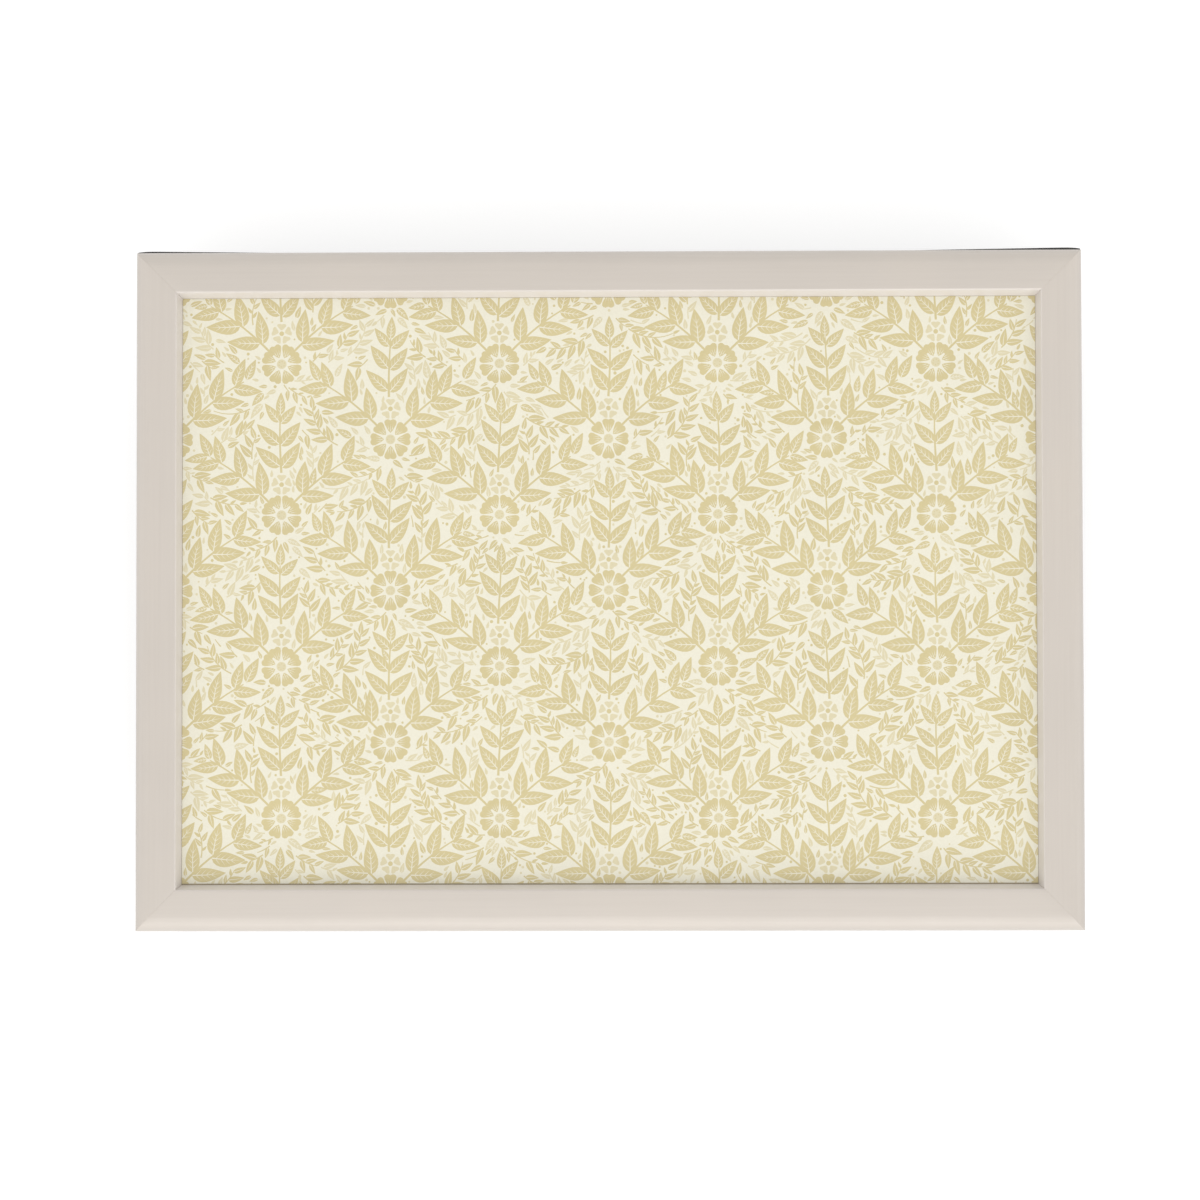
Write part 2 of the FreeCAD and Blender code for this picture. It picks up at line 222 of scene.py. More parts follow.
def paint_look(name, along):
    """Satin paint brushed along the rail, a little uneven and rubbed on the
    edges; along is the rail's direction, 0 for x and 1 for y."""
    k = Look(name)
    k.shader.inputs["Specular IOR Level"].default_value = 0.5
    stretch = [900.0, 900.0, 900.0]
    stretch[along] = 14.0
    streak = k.noise(k.place(tuple(stretch)), 1.0, 4.0, 0.55)
    cloud = k.noise(k.place((1, 1, 1)), 16.0, 3.0, 0.55)
    tone = k.ramp(cloud, (0.28, shade(PAINT, 0.98)), (0.52, PAINT),
                  (0.75, (PAINT[0] * 1.02, PAINT[1] * 1.015, PAINT[2] * 1.005, 1)))
    lines = k.ramp(streak, (0.30, (0.978, 0.976, 0.974, 1)), (0.62, (1, 1, 1, 1)))
    tone = k.blend(1.0, tone, lines, "MULTIPLY")
    # rubbed edges, painted on the mesh by where the profile turns
    edge = k.add("Attribute", attribute_name="edge").outputs["Fac"]
    worn = k.noise(k.place((1, 1, 1)), 130.0, 4.0, 0.65)
    worn = k.math("MULTIPLY", k.span(worn, 0.0, 1.0, 0.50, 0.66), edge)
    tone = k.blend(k.math("MULTIPLY", worn, 0.30), tone, (0.70, 0.655, 0.60, 1))
    # the sloped lip next to the panel, painted paler and less yellow: a painted highlight standing
    # in for the light it catches
    bevel_highlight = k.add("Attribute", attribute_name="bevel_highlight").outputs["Fac"]
    tone = k.blend(bevel_highlight, tone, k.blend(1.0, tone, (1.20, 1.23, 1.285, 1), "MULTIPLY"))
    # the outside face and the start of its roundover, a tone darker: painted shade where the light
    # falls off at the frame's outside edge
    outer_shade = k.add("Attribute", attribute_name="outer_shade").outputs["Fac"]
    tone = k.blend(outer_shade, tone, k.blend(1.0, tone, (0.88, 0.88, 0.88, 1), "MULTIPLY"))
    k.colour(tone)
    k.rough(k.span(k.noise(k.place((1, 1, 1)), 60.0, 3.0), 0.30, 0.40, 0.3, 0.7))
    first = k.bump(streak, 0.10, 0.00012)
    peel = k.noise(k.place((1, 1, 1)), 420.0, 2.0)
    k.bump(peel, 0.06, 0.0001, first)
    return k.mat


def wood_look(name, along):
    """Raw softwood, cut along the grain."""
    k = Look(name, Roughness=0.7)
    stretch = [70.0, 70.0, 70.0]
    stretch[along] = 3.0
    rings = k.add("TexWave", wave_type="BANDS", bands_direction="Y" if along == 0 else "X")
    rings.inputs["Scale"].default_value = 1.4
    rings.inputs["Distortion"].default_value = 7.0
    rings.inputs["Detail"].default_value = 3.0
    k.wire(k.place(tuple(stretch)), rings.inputs["Vector"])
    fine = [1600.0, 1600.0, 1600.0]
    fine[along] = 40.0
    fibre = k.noise(k.place(tuple(fine)), 1.0, 4.0, 0.6)
    tone = k.ramp(rings.outputs["Fac"], (0.1, lin(203, 171, 126)),
                  (0.7, lin(219, 190, 147)), (1.0, lin(189, 150, 103)))
    grain = k.ramp(fibre, (0.3, (0.86, 0.84, 0.80, 1)), (0.6, (1, 1, 1, 1)))
    k.colour(k.blend(1.0, tone, grain, "MULTIPLY"))
    k.bump(fibre, 0.25, 0.0002)
    return k.mat


def print_look(name, colour, spread):
    """Printed paper under a clear satin melamine face."""
    k = Look(name)
    k.shader.inputs["Specular IOR Level"].default_value = 0.5
    cloud = k.noise(k.place((1, 1, 1)), 45.0, 3.0, 0.55)
    fibre = k.noise(k.place((1, 1, 1)), 1500.0, 3.0, 0.6)
    tone = k.ramp(cloud, (0.30, shade(colour, 1 - spread)), (0.55, colour),
                  (0.78, shade(colour, 1 + 0.6 * spread)))
    specks = k.ramp(fibre, (0.30, (0.955, 0.95, 0.935, 1)), (0.60, (1, 1, 1, 1)))
    k.colour(k.blend(1.0, tone, specks, "MULTIPLY"))
    k.rough(k.span(cloud, 0.40, 0.48, 0.3, 0.7))
    k.bump(k.noise(k.place((1, 1, 1)), 900.0, 2.0), 0.05, 0.0001)
    return k.mat


def board_look():
    """Fibreboard: felted brown fibres."""
    k = Look("fibreboard", Roughness=0.85)
    a = k.noise(k.place((1, 1, 1)), 500.0, 5.0, 0.7)
    b = k.noise(k.place((1, 1, 1)), 40.0, 3.0)
    tone = k.ramp(a, (0.25, lin(112, 84, 56)), (0.5, lin(146, 115, 80)),
                  (0.75, lin(172, 141, 102)))
    k.colour(k.blend(k.math("MULTIPLY", b, 0.35), tone, lin(120, 92, 63)))
    k.bump(a, 0.5, 0.0003)
    return k.mat


def paper_look():
    """Plain balancing paper, with its fibres and a slight tooth."""
    k = Look("backing_paper", Roughness=0.72)
    flat = k.noise(k.place((1, 1, 1)), 30.0, 4.0, 0.6)
    fibre = k.noise(k.place((260.0, 900.0, 400.0), turn=(0, 0, 0.5)), 1.0, 4.0, 0.7, 1.5)
    tone = k.ramp(flat, (0.3, lin(186, 168, 138)), (0.7, lin(201, 184, 154)))
    marks = k.ramp(fibre, (0.34, (0.80, 0.78, 0.74, 1)), (0.44, (1, 1, 1, 1)),
                   (0.70, (1.0, 1.0, 1.0, 1)))
    k.colour(k.blend(1.0, tone, marks, "MULTIPLY"))
    k.bump(fibre, 0.12, 0.0001)
    return k.mat


def steel_look():
    k = Look("bright_steel", Metallic=1.0)
    n = k.noise(k.place((1, 1, 1)), 900.0, 4.0, 0.65)
    b = k.noise(k.place((1, 1, 1)), 120.0, 3.0)
    k.colour(k.ramp(b, (0.3, (0.46, 0.455, 0.45, 1)), (0.7, (0.64, 0.64, 0.645, 1))))
    k.rough(k.span(n, 0.24, 0.46, 0.3, 0.7))
    k.bump(n, 0.10, 0.00005)
    return k.mat


def weave(k, pitch, uv=None, scale=1.0):
    """Plain weave: the height of the threads, and a value per thread."""
    f = scale / pitch
    at = k.place((f, f, 1.0), uv=uv)
    waves = []
    for way in ("X", "Y"):
        w = k.add("TexWave", wave_type="BANDS", bands_direction=way)
        w.inputs["Scale"].default_value = 2 * math.pi / 20
        w.inputs["Distortion"].default_value = 0.12
        w.inputs["Detail"].default_value = 0.0
        k.wire(at, w.inputs["Vector"])
        waves.append(w.outputs["Fac"])
    over = k.add("TexChecker")
    over.inputs["Scale"].default_value = 1.0
    k.wire(at, over.inputs["Vector"])
    over = over.outputs["Fac"]
    warp = k.math("MULTIPLY", waves[0], k.span(waves[1], 0.5, 1.0))
    weft = k.math("MULTIPLY", waves[1], k.span(waves[0], 0.5, 1.0))
    inv = k.math("SUBTRACT", 1.0, over)
    height = k.math("ADD", k.math("MULTIPLY", warp, over), k.math("MULTIPLY", weft, inv))
    return height, over


def fabric_look():
    """Charcoal plain-woven cotton over loose beads."""
    k = Look("charcoal_canvas", Roughness=0.78)
    k.shader.inputs["Specular IOR Level"].default_value = 0.24
    k.shader.inputs["Sheen Weight"].default_value = 0.10
    k.shader.inputs["Sheen Roughness"].default_value = 0.5
    k.shader.inputs["Sheen Tint"].default_value = (0.75, 0.72, 0.69, 1)
    height, over = weave(k, 1.2, uv="weave")
    # slubs: threads that run a little thick or pale
    warp = k.noise(k.place((0.85, 0.02, 1.0), uv="weave"), 1.0, 2.0)
    weft = k.noise(k.place((0.02, 0.85, 1.0), uv="weave"), 1.0, 2.0)
    slub = k.blend(over, warp, weft)
    tone = k.ramp(slub, (0.30, lin(46, 43, 41)), (0.52, lin(60, 57, 54)),
                  (0.74, lin(80, 76, 72)))
    for stretch in ((0.33, 0.008, 1.0), (0.008, 0.33, 1.0)):
        bands = k.noise(k.place(stretch, uv="weave"), 1.0, 3.0, 0.6)
        tone = k.blend(1.0, tone, k.ramp(bands, (0.34, (0.80, 0.80, 0.80, 1)),
                                         (0.66, (1.0, 1.0, 1.0, 1))), "MULTIPLY")
    # the hollows between the threads darkened: painted shade
    deep = k.ramp(height, (0.05, (0.42, 0.42, 0.43, 1)), (0.6, (1, 1, 1, 1)))
    tone = k.blend(1.0, tone, deep, "MULTIPLY")
    fade = k.noise(k.place((1, 1, 1)), 14.0, 3.0)
    tone = k.blend(1.0, tone, k.ramp(fade, (0.3, (0.95, 0.95, 0.955, 1)),
                                     (0.7, (1.03, 1.025, 1.02, 1))), "MULTIPLY")
    k.colour(tone)
    beads = k.add("TexVoronoi", feature="SMOOTH_F1")
    beads.inputs["Scale"].default_value = 230.0
    beads.inputs["Smoothness"].default_value = 0.8
    k.wire(k.place((1, 1, 1)), beads.inputs["Vector"])
    first = k.bump(k.math("SUBTRACT", 1.0, beads.outputs["Distance"]), 0.10, 0.0012)
    k.bump(height, 0.6, 0.0004, first)
    return k.mat


def tape_look(name, dark, light):
    """The woven ground of a fastening tape."""
    k = Look(name, Roughness=0.7)
    height, over = weave(k, 0.55, scale=1000.0)
    n = k.noise(k.place((1, 1, 1)), 60.0, 3.0)
    tone = k.ramp(n, (0.3, dark), (0.7, light))
    # darker in the hollows between the threads: painted shade
    k.colour(k.blend(1.0, tone, k.ramp(height, (0.0, (0.5, 0.5, 0.5, 1)),
                                       (0.6, (1, 1, 1, 1))), "MULTIPLY"))
    k.bump(height, 0.6, 0.00015)
    return k.mat


def nylon_look(name, low, high, rough):
    k = Look(name)
    n = k.noise(k.place((1, 1, 1)), 700.0, 3.0)
    k.colour(k.ramp(n, (0.3, low), (0.7, high)))
    k.rough(k.span(n, rough - 0.06, rough + 0.06, 0.3, 0.7))
    return k.mat


def thread_look():
    k = Look("sewing_thread", Roughness=0.6)
    k.shader.inputs["Sheen Weight"].default_value = 0.3
    twist = k.add("TexWave", wave_type="BANDS", bands_direction="DIAGONAL")
    twist.inputs["Scale"].default_value = 2 * math.pi / 20
    k.wire(k.place((3200.0, 3200.0, 3200.0)), twist.inputs["Vector"])
    # darker in the grooves of the twist, where the bump is low: painted shade
    k.colour(k.ramp(twist.outputs["Fac"], (0.1, lin(58, 55, 53)), (0.8, lin(96, 92, 88))))
    k.bump(twist.outputs["Fac"], 0.5, 0.00008)
    return k.mat


def bead_look():
    """Expanded beads packed together."""
    k = Look("expanded_beads", Roughness=0.65)
    cell = k.add("TexVoronoi", feature="F1")
    cell.inputs["Scale"].default_value = 260.0
    k.wire(k.place((1, 1, 1)), cell.inputs["Vector"])
    # each bead darker toward its edge, where it meets the next: painted shade
    k.colour(k.ramp(cell.outputs["Distance"], (0.25, lin(244, 244, 242)),
                    (0.7, lin(205, 205, 203))))
    k.bump(k.math("SUBTRACT", 1.0, cell.outputs["Distance"]), 0.9, 0.0015)
    return k.mat


paint = [paint_look("satin_paint_x", 0), paint_look("satin_paint_y", 1)]
raw = [wood_look("raw_wood_x", 0), wood_look("raw_wood_y", 1)]
GROUND, INK, PALE, LINE, DUST_SHADE = 0, 1, 2, 3, 4
prints = [print_look("print_ground", lin(222, 218.5, 201.5), 0.012),
          print_look("print_leaf", lin(200, 187.3, 142.5), 0.035),
          print_look("print_pale", lin(209, 200, 167), 0.03),
          print_look("print_vein", lin(223, 219.5, 203.5), 0.01),
          # dust and painted shade along the foot of the rails
          print_look("print_dust_shade", lin(150, 139, 116), 0.10)]
board = board_look()
paper = paper_look()
steel = steel_look()
canvas = fabric_look()
thread = thread_look()
beads = bead_look()
hook_ground = tape_look("hook_tape_ground", lin(34, 33, 34), lin(44, 43, 43))
hook_nylon = nylon_look("hook_nylon", lin(38, 37, 38), lin(52, 51, 52), 0.38)
loop_ground = tape_look("loop_tape_ground", lin(38, 36, 36), lin(50, 48, 47))
loop_nylon = nylon_look("loop_nylon", lin(44, 42, 42), lin(66, 63, 62), 0.55)


# --------------------------------------------------------------------------
# Rails: the moulding's profile swept between the mitres
# --------------------------------------------------------------------------
def arc(p, q, r, n):
    """Points after p up to q on an arc that bulges to the right of p to q."""
    p, q = np.array(p, float), np.array(q, float)
    d = q - p
    length = np.hypot(*d)
    left = np.array((-d[1], d[0])) / length
    c = (p + q) / 2 + left * math.sqrt(max(r * r - length * length / 4, 0.0))
    a0 = math.atan2(*(p - c)[::-1])
    a1 = math.atan2(*(q - c)[::-1])
    while a1 < a0:
        a1 += 2 * math.pi
    return [tuple(c + r * np.array((math.cos(a), math.sin(a))))
            for a in np.linspace(a0, a1, n + 1)[1:]]


def moulding():
    """The profile, counter-clockwise: points, and the finish of each side
    (0 paint, 1 raw wood). u runs inward from the outside, v up."""
    pts, finish = [(0.6, 0.02)], []

    def line(q, kind):
        pts.append(q)
        finish.append(kind)

    def bend(q, r, n, kind):
        for x in arc(pts[-1], q, r, n):
            line(x, kind)

    line((16.5, 0.02), 1)
    line((16.5, 11.98), 1)
    line((21.28, 11.98), 1)
    bend((21.5, 12.2), 0.22, 3, 0)
    line((21.5, 12.8), 0)
    line((20.9, 14.83), 0)
    line((20.2, 17.2), 0)
    line((19.56, 19.36), 0)
    bend((18.66, 20.0), 0.9, 8, 0)
    bend((7.2, 19.1), 130.0, 10, 0)
    bend((0.0, 10.96), (7.2 ** 2 + 8.14 ** 2) / (2 * 7.2), 16, 0)
    line((0.0, 6.0), 0)
    line((0.0, 0.6), 0)
    for x in arc(pts[-1], (0.6, 0.02), 0.6, 4)[:-1]:
        line(x, 0)
    finish.append(0)
    return pts, finish


def rail(node, along, side):
    """One rail. along is 0 (x) or 1 (y); side is where it lies on the other
    axis. Its ends are eased a hair, so the mitre shows as a fine line."""
    pts, finish = moulding()
    n = len(pts)
    half_len = HALF_X if along == 0 else HALF_Y
    half_out = HALF_Y if along == 0 else HALF_X
    p = np.array(pts)
    # outward normals of the profile, to draw the end in
    t = np.roll(p, -1, 0) - np.roll(p, 1, 0)
    nrm = np.stack((t[:, 1], -t[:, 0]), 1)
    nrm /= np.hypot(nrm[:, 0], nrm[:, 1])[:, None]
    turn = np.abs(np.cross(np.roll(p, -1, 0) - p, p - np.roll(p, 1, 0)))
    seg = np.hypot(*(np.roll(p, -1, 0) - p).T) + np.hypot(*(p - np.roll(p, 1, 0)).T)
    bend = np.clip(2.2 * turn / (seg ** 2 + 1e-9) * 2, 0, 1)

    # near the ends: how far along the rail, and how far drawn in
    low = [(0.015, 0.035), (0.06, 0.009), (0.18, 0.0), (6.0, 0.0)]
    mids = 18
    verts, edge = [], []
    stations = [("lo", a, b) for a, b in low]
    stations += [("mid", (i + 1) / (mids + 1), 0.0) for i in range(mids)]
    stations += [("hi", a, b) for a, b in low[::-1]]
    for kind, a, b in stations:
        for (u, v), (nu, nv), e in zip(p, nrm, bend):
            uu, vv = u - nu * b, v - nv * b
            end = half_len - uu
            if kind == "lo":
                s = -end + a
            elif kind == "hi":
                s = end - a
            else:
                s = (-end + 6.0) + (2 * end - 12.0) * a
            o = side * (half_out - uu)
            verts.append((s, o, RAIL_Z + vv) if along == 0 else (o, s, RAIL_Z + vv))
            edge.append(e)
    m = len(stations)
    faces, index, uvs = [], [], []
    flip = (side > 0) == (along == 0)
    run = np.concatenate(([0], np.cumsum(np.hypot(*(np.roll(p, -1, 0) - p).T))))
    around = run / (2 * half_len) * 1.0
    for i in range(m - 1):
        for j in range(n):
            j2 = (j + 1) % n
            f = [i * n + j, (i + 1) * n + j, (i + 1) * n + j2, i * n + j2]
            w = []
            for q, (ii, jj) in zip(f, ((i, j), (i + 1, j), (i + 1, j + 1), (i, j + 1))):
                s = verts[q][along]
                w.append((0.01 + 0.98 * (s + half_len) / (2 * half_len),
                          0.02 + 0.9 * around[jj]))
            if flip:
                f, w = f[::-1], w[::-1]
            faces.append(f)
            uvs += w
            index.append(finish[j])
    for i, back in ((0, True), (m - 1, False)):
        f = [i * n + j for j in range(n)]
        w = [(0.05 + 0.05 * i / m + 0.002 * q[0], 0.6 + 0.002 * q[1]) for q in pts]
        if back != flip:
            f, w = f[::-1], w[::-1]
        faces.append(f[::-1])
        uvs += w[::-1]
        index.append(1)
    obj = new_mesh("rail_" + node, verts, faces, [paint[along], raw[along]], index,
                   smooth=32, uv={"OFBake": uvs})
    # where the sloped lip's painted highlight goes
    inner = smooth01((p[:, 0] - 18.9) / 0.5) * (p[:, 1] > 12.0)
    # where the outside face's painted shade goes
    outer_shade = 1.0 - smooth01((p[:, 0] - 0.4) / 2.6)
    for name, values in (("edge", edge), ("bevel_highlight", np.tile(inner, m)),
                         ("outer_shade", np.tile(outer_shade, m))):
        layer = obj.data.attributes.new(name, "FLOAT", "POINT")
        layer.data.foreach_set("value", np.asarray(values, np.float32))
    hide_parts(node)
    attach(obj, "tray")
    return obj


rail("front_rail", 0, -1)
rail("back_rail", 0, 1)
rail("left_rail", 1, -1)
rail("right_rail", 1, 1)


# --------------------------------------------------------------------------
# Printed panel: a leaf and blossom trellis, cut as inlaid shapes in the face
# --------------------------------------------------------------------------
class Print:
    """Polygons in millimetres; a later one lies over an earlier one."""

    def __init__(self, seed):
        self.rng = random.Random(seed)
        self.shapes = []
        self.step = 0.45
        self.nx = int(2 * SHEET_X / self.step) + 1
        self.ny = int(2 * SHEET_Y / self.step) + 1
        self.used = np.zeros((self.ny, self.nx), bool)

    def cells(self, pts, grow=0.0):
        pts = np.asarray(pts, float)
        if grow:
            off = pts - pts.mean(0)
            pts = pts + off / (np.hypot(off[:, 0], off[:, 1])[:, None] + 1e-9) * grow
        low = np.array((SHEET_X, SHEET_Y))
        lo = np.maximum(np.floor((pts.min(0) + low) / self.step).astype(int), 0)
        hi = np.minimum(np.ceil((pts.max(0) + low) / self.step).astype(int),
                        (self.nx - 1, self.ny - 1))
        if (hi < lo).any():
            return None
        gx = (np.arange(lo[0], hi[0] + 1) * self.step - SHEET_X)[None, :]
        gy = (np.arange(lo[1], hi[1] + 1) * self.step - SHEET_Y)[:, None]
        ends = np.roll(pts, -1, 0)
        inside = np.zeros((gy.size, gx.size), bool)
        for (x0, y0), (x1, y1) in zip(pts, ends):
            if y0 != y1:
                rows = (y0 > gy) != (y1 > gy)
                inside ^= rows & (gx < (x1 - x0) * (gy - y0) / (y1 - y0) + x0)
        return (slice(lo[1], hi[1] + 1), slice(lo[0], hi[0] + 1)), inside

    def hit(self, x, y):
        i = int((x + SHEET_X) / self.step + 0.5)
        j = int((y + SHEET_Y) / self.step + 0.5)
        return 0 <= i < self.nx and 0 <= j < self.ny and bool(self.used[j, i])

    def free(self, pts, grow, share):
        got = self.cells(pts, grow)
        if got is None:
            return False
        where, inside = got
        area = inside.sum()
        return area > 0 and (self.used[where] & inside).sum() <= share * area

    def take(self, pts, grow=0.0):
        got = self.cells(pts, grow)
        if got is not None:
            where, inside = got
            self.used[where] |= inside

    def put(self, kind, pts):
        if any(abs(x) < SIGHT_X + 0.7 and abs(y) < SIGHT_Y + 0.7 for x, y in pts):
            self.shapes.append((kind, [tuple(p) for p in pts]))

    def leaf(self, x, y, turn, length, width, bend=0.0, kind=INK, veins=True,
             gap=0.45, share=0.03):
        """A broad leaf with a drawn-out tip, a midrib and side veins."""
        ca, sa = math.cos(turn), math.sin(turn)

        def at(t, side):
            u = length * t
            v = side + bend * length * (t * t - 0.35 * t)
            return (x + u * ca - v * sa, y + u * sa + v * ca)

        def half(t):
            return width / 2 * math.sin(math.pi * t ** 0.66) ** 0.9

        if any(self.hit(*at(t, 0.0)) for t in (0.3, 0.5, 0.7, 0.9, 1.0)):
            return False
        if length > 9.0:
            ts = (0.07, 0.17, 0.29, 0.42, 0.56, 0.70, 0.83, 0.93)
        elif length > 5.5:
            ts = (0.10, 0.25, 0.42, 0.60, 0.78, 0.91)
        else:
            ts = (0.14, 0.36, 0.62, 0.85) if length > 4.6 else (0.16, 0.44, 0.77)
        one = [at(t, half(t)) for t in ts]
        two = [at(t, -half(t)) for t in ts]
        tip = two[1:] + [at(1, 0)] + one[:0:-1]
        if not self.free(tip, gap, share):
            return False
        ring = [at(0, 0)] + two + [at(1, 0)] + one[::-1]
        self.take(ring, 0.1)
        self.put(kind, ring)
        w0 = 0.05 * width + 0.16
        if length > 5.5:
            self.put(LINE, [at(0.02, w0 / 2), at(0.02, -w0 / 2),
                            at(0.45, -w0 * 0.34), at(0.88, 0), at(0.45, w0 * 0.34)])
        elif length > 4.0:
            self.put(LINE, [at(0.05, w0 / 2), at(0.05, -w0 / 2), at(0.85, 0)])
        if veins:
            for t in ((0.14, 0.29, 0.44, 0.59) if length > 9.0 else (0.18, 0.38, 0.57)):
                rib = w0 * (0.507 - 0.372 * t if t < 0.45 else 0.79 * (0.88 - t))
                for side in (-1, 1):
                    t1 = t + 0.15
                    p0 = at(t, side * (rib + 0.12))
                    p1 = at(t1, side * half(t1) * 0.82)
                    d = math.hypot(p1[0] - p0[0], p1[1] - p0[1])
                    qx = -(p1[1] - p0[1]) / d * 0.13
                    qy = (p1[0] - p0[0]) / d * 0.13
                    self.put(LINE, [(p0[0] + qx, p0[1] + qy),
                                    (p0[0] - qx, p0[1] - qy), p1])
        return True

    def leaf_to_fit(self, x, y, turn, length, slim, bend, **more):
        for shrink in (1.0, 0.88, 0.76, 0.64, 0.52):
            if self.leaf(x, y, turn, length * shrink, length * shrink * slim,
                         bend, **more):
                return True
        return False

    def stem(self, line, w0, w1, kind=INK):
        left, right = [], []
        n = len(line)
        for i, (x, y) in enumerate(line):
            x0, y0 = line[max(i - 1, 0)]
            x1, y1 = line[min(i + 1, n - 1)]
            d = math.hypot(x1 - x0, y1 - y0)
            w = (w0 + (w1 - w0) * i / (n - 1)) / 2
            qx, qy = -(y1 - y0) / d * w, (x1 - x0) / d * w
            left.append((x + qx, y + qy))
            right.append((x - qx, y - qy))
        ring = right + left[::-1]
        self.take(ring, 0.15)
        self.put(kind, ring)

    def disc(self, x, y, r, kind, n=8, gap=None):
        ring = [(x + r * math.cos(2 * math.pi * i / n),
                 y + r * math.sin(2 * math.pi * i / n)) for i in range(n)]
        if gap is not None and not self.free(ring, gap, 0.0):
            return False
        self.take(ring, 0.1)
        self.put(kind, ring)
        return True

    def blossom(self, x, y, r, petals, turn, kind=INK, lines=True):
        """Separate notched petals round an open eye."""
        wide = r * math.sin(math.pi / petals) * 0.80
        for i in range(petals):
            a = turn + 2 * math.pi * i / petals
            ca, sa = math.cos(a), math.sin(a)

            def at(s, v):
                u = r * (0.32 + 0.68 * s)
                v *= wide
                return (x + u * ca - v * sa, y + u * sa + v * ca)

            rim = [(0.16, 0.34), (0.38, 0.62), (0.62, 0.92), (0.82, 1.0),
                   (0.95, 0.78), (1.0, 0.42)]
            ring = ([at(0, 0)] + [at(s, -v) for s, v in rim] + [at(0.92, 0)]
                    + [at(s, v) for s, v in rim[::-1]])
            self.put(kind, ring)
            if lines:
                for v, s0, s1 in ((0.0, 0.10, 0.66), (0.26, 0.24, 0.60),
                                  (-0.26, 0.24, 0.60)):
                    self.put(LINE, [at(s0, v - 0.055), at(s1, v * 1.7),
                                    at(s0, v + 0.055)])
        self.disc(x, y, r * 0.24, PALE if kind == INK else INK, n=14)
        if lines:
            for i in range(6):
                a = turn + 2 * math.pi * i / 6
                self.disc(x + r * 0.14 * math.cos(a), y + r * 0.14 * math.sin(a),
                          r * 0.032, INK, n=6)
        self.take([(x + r * 1.03 * math.cos(q * 0.2618),
                    y + r * 1.03 * math.sin(q * 0.2618)) for q in range(24)])

    def branch(self, at, first, last, pairs, big, lean=(38, 48), thick=1.1):
        """Leaves in pairs along a line, one at its end, then the stem."""
        rng = self.rng

        def way(t):
            (ax, ay), (bx, by) = at(t - 0.01), at(t + 0.01)
            return math.atan2(by - ay, bx - ax)

        for i in range(pairs):
            t = first + (last - first) * (i + 0.2) / pairs
            fade = 1.0 - 0.42 * max(0.0, i - 0.3 * pairs) / pairs
            for side in (-1, 1):
                tt = t + side * 0.010
                x, y = at(tt)
                a = way(tt) + math.radians(rng.uniform(*lean)) * side
                size = big * fade * rng.uniform(0.95, 1.05)
                self.leaf_to_fit(x + 0.4 * math.cos(a), y + 0.4 * math.sin(a),
                                 a, size, rng.uniform(.40, .45),
                                 -side * rng.uniform(0.06, 0.14),
                                 veins=size > 8)
        x, y = at(last)
        if not self.leaf_to_fit(x, y, way(last), big * 0.72, 0.42, 0.0):
            last -= 0.09
        low = max(0.0, first - 0.1)
        self.stem([at(low + (last - low) * i / 8) for i in range(9)],
                  thick, thick * 0.5)

    def sprig(self, x, y, a, curl, reach, big, kind):
        """A curved stem with alternate leaves, as long as there is room."""
        line, ways = [(x, y)], [a]
        while len(line) < reach:
            a += curl
            x, y = x + 1.1 * math.cos(a), y + 1.1 * math.sin(a)
            sx, sy = -0.9 * math.sin(a), 0.9 * math.cos(a)
            if any(self.hit(x + q * sx, y + q * sy) for q in (-1, 0, 1)):
                break
            line.append((x, y))
            ways.append(a)
        n = len(line) - 1
        if n < 5:
            return
        for i in range(1, n, 2):
            side = 1 if i % 4 == 1 else -1
            self.leaf_to_fit(*line[i], ways[i] + side * 0.78, big * (1.0 - 0.35 * i / n), 0.40,
                             -side * 0.12, kind=kind, veins=False, gap=0.34, share=0.02)
        self.leaf_to_fit(*line[n - 1], ways[n - 1], big * 0.8, 0.40, 0.0, kind=kind,
                         veins=False, gap=0.3, share=0.05)
        self.stem(line[:n:2] if n > 7 else line[:n], 0.62, 0.36, kind)

    def gap_at(self, cells, spots):
        """An open place, and the way from the blossom nearest to it."""
        j, i = cells[self.rng.randrange(len(cells))]
        x, y = i * self.step - SHEET_X, j * self.step - SHEET_Y
        off = (x, y) - spots
        ox, oy = off[np.argmin(off[:, 0] ** 2 + off[:, 1] ** 2)]
        return x, y, math.atan2(oy + 5.0, ox), 1 if ox > 0 else -1

    def draw(self):
        rng = self.rng
        cx, cy = 50.75, 70.5
        nodes = []
        for i in range(-5, 6):
            for j in range(-4, 5):
                x, y = i * cx, j * cy + (cy / 2 if i % 2 else 0.0)
                if abs(x) < SHEET_X + 60 and abs(y) < SHEET_Y + 75:
                    nodes.append((x, y, i))
        for x, y, i in nodes:
            self.blossom(x, y, 9.4, 8, math.pi / 8 if i % 2 else 0.0)
        for x, y, i in nodes:
            self.blossom(x, y + 0.5 * cy - 21.0, 4.6, 5, math.pi / 2, PALE, False)
        for x, y, i in nodes:
            for sx in (-1, 1):
                def at(t, x=x, y=y, sx=sx):
                    k = 4.0 * math.sin(math.pi * t)
                    return (x + sx * cx * t - sx * 0.57 * k,
                            y + cy / 2 * t + 0.82 * k)
                self.branch(at, 0.19, 0.78, 6, 15.5)
        for x, y, i in nodes:
            def at(t, x=x, y=y + cy / 2, i=i):
                return (x + 0.8 * math.sin(2.6 * t + i), y - 15.5 + 34.0 * t)
            self.branch(at, 0.04, 0.80, 5, 14.5, lean=(40, 52))
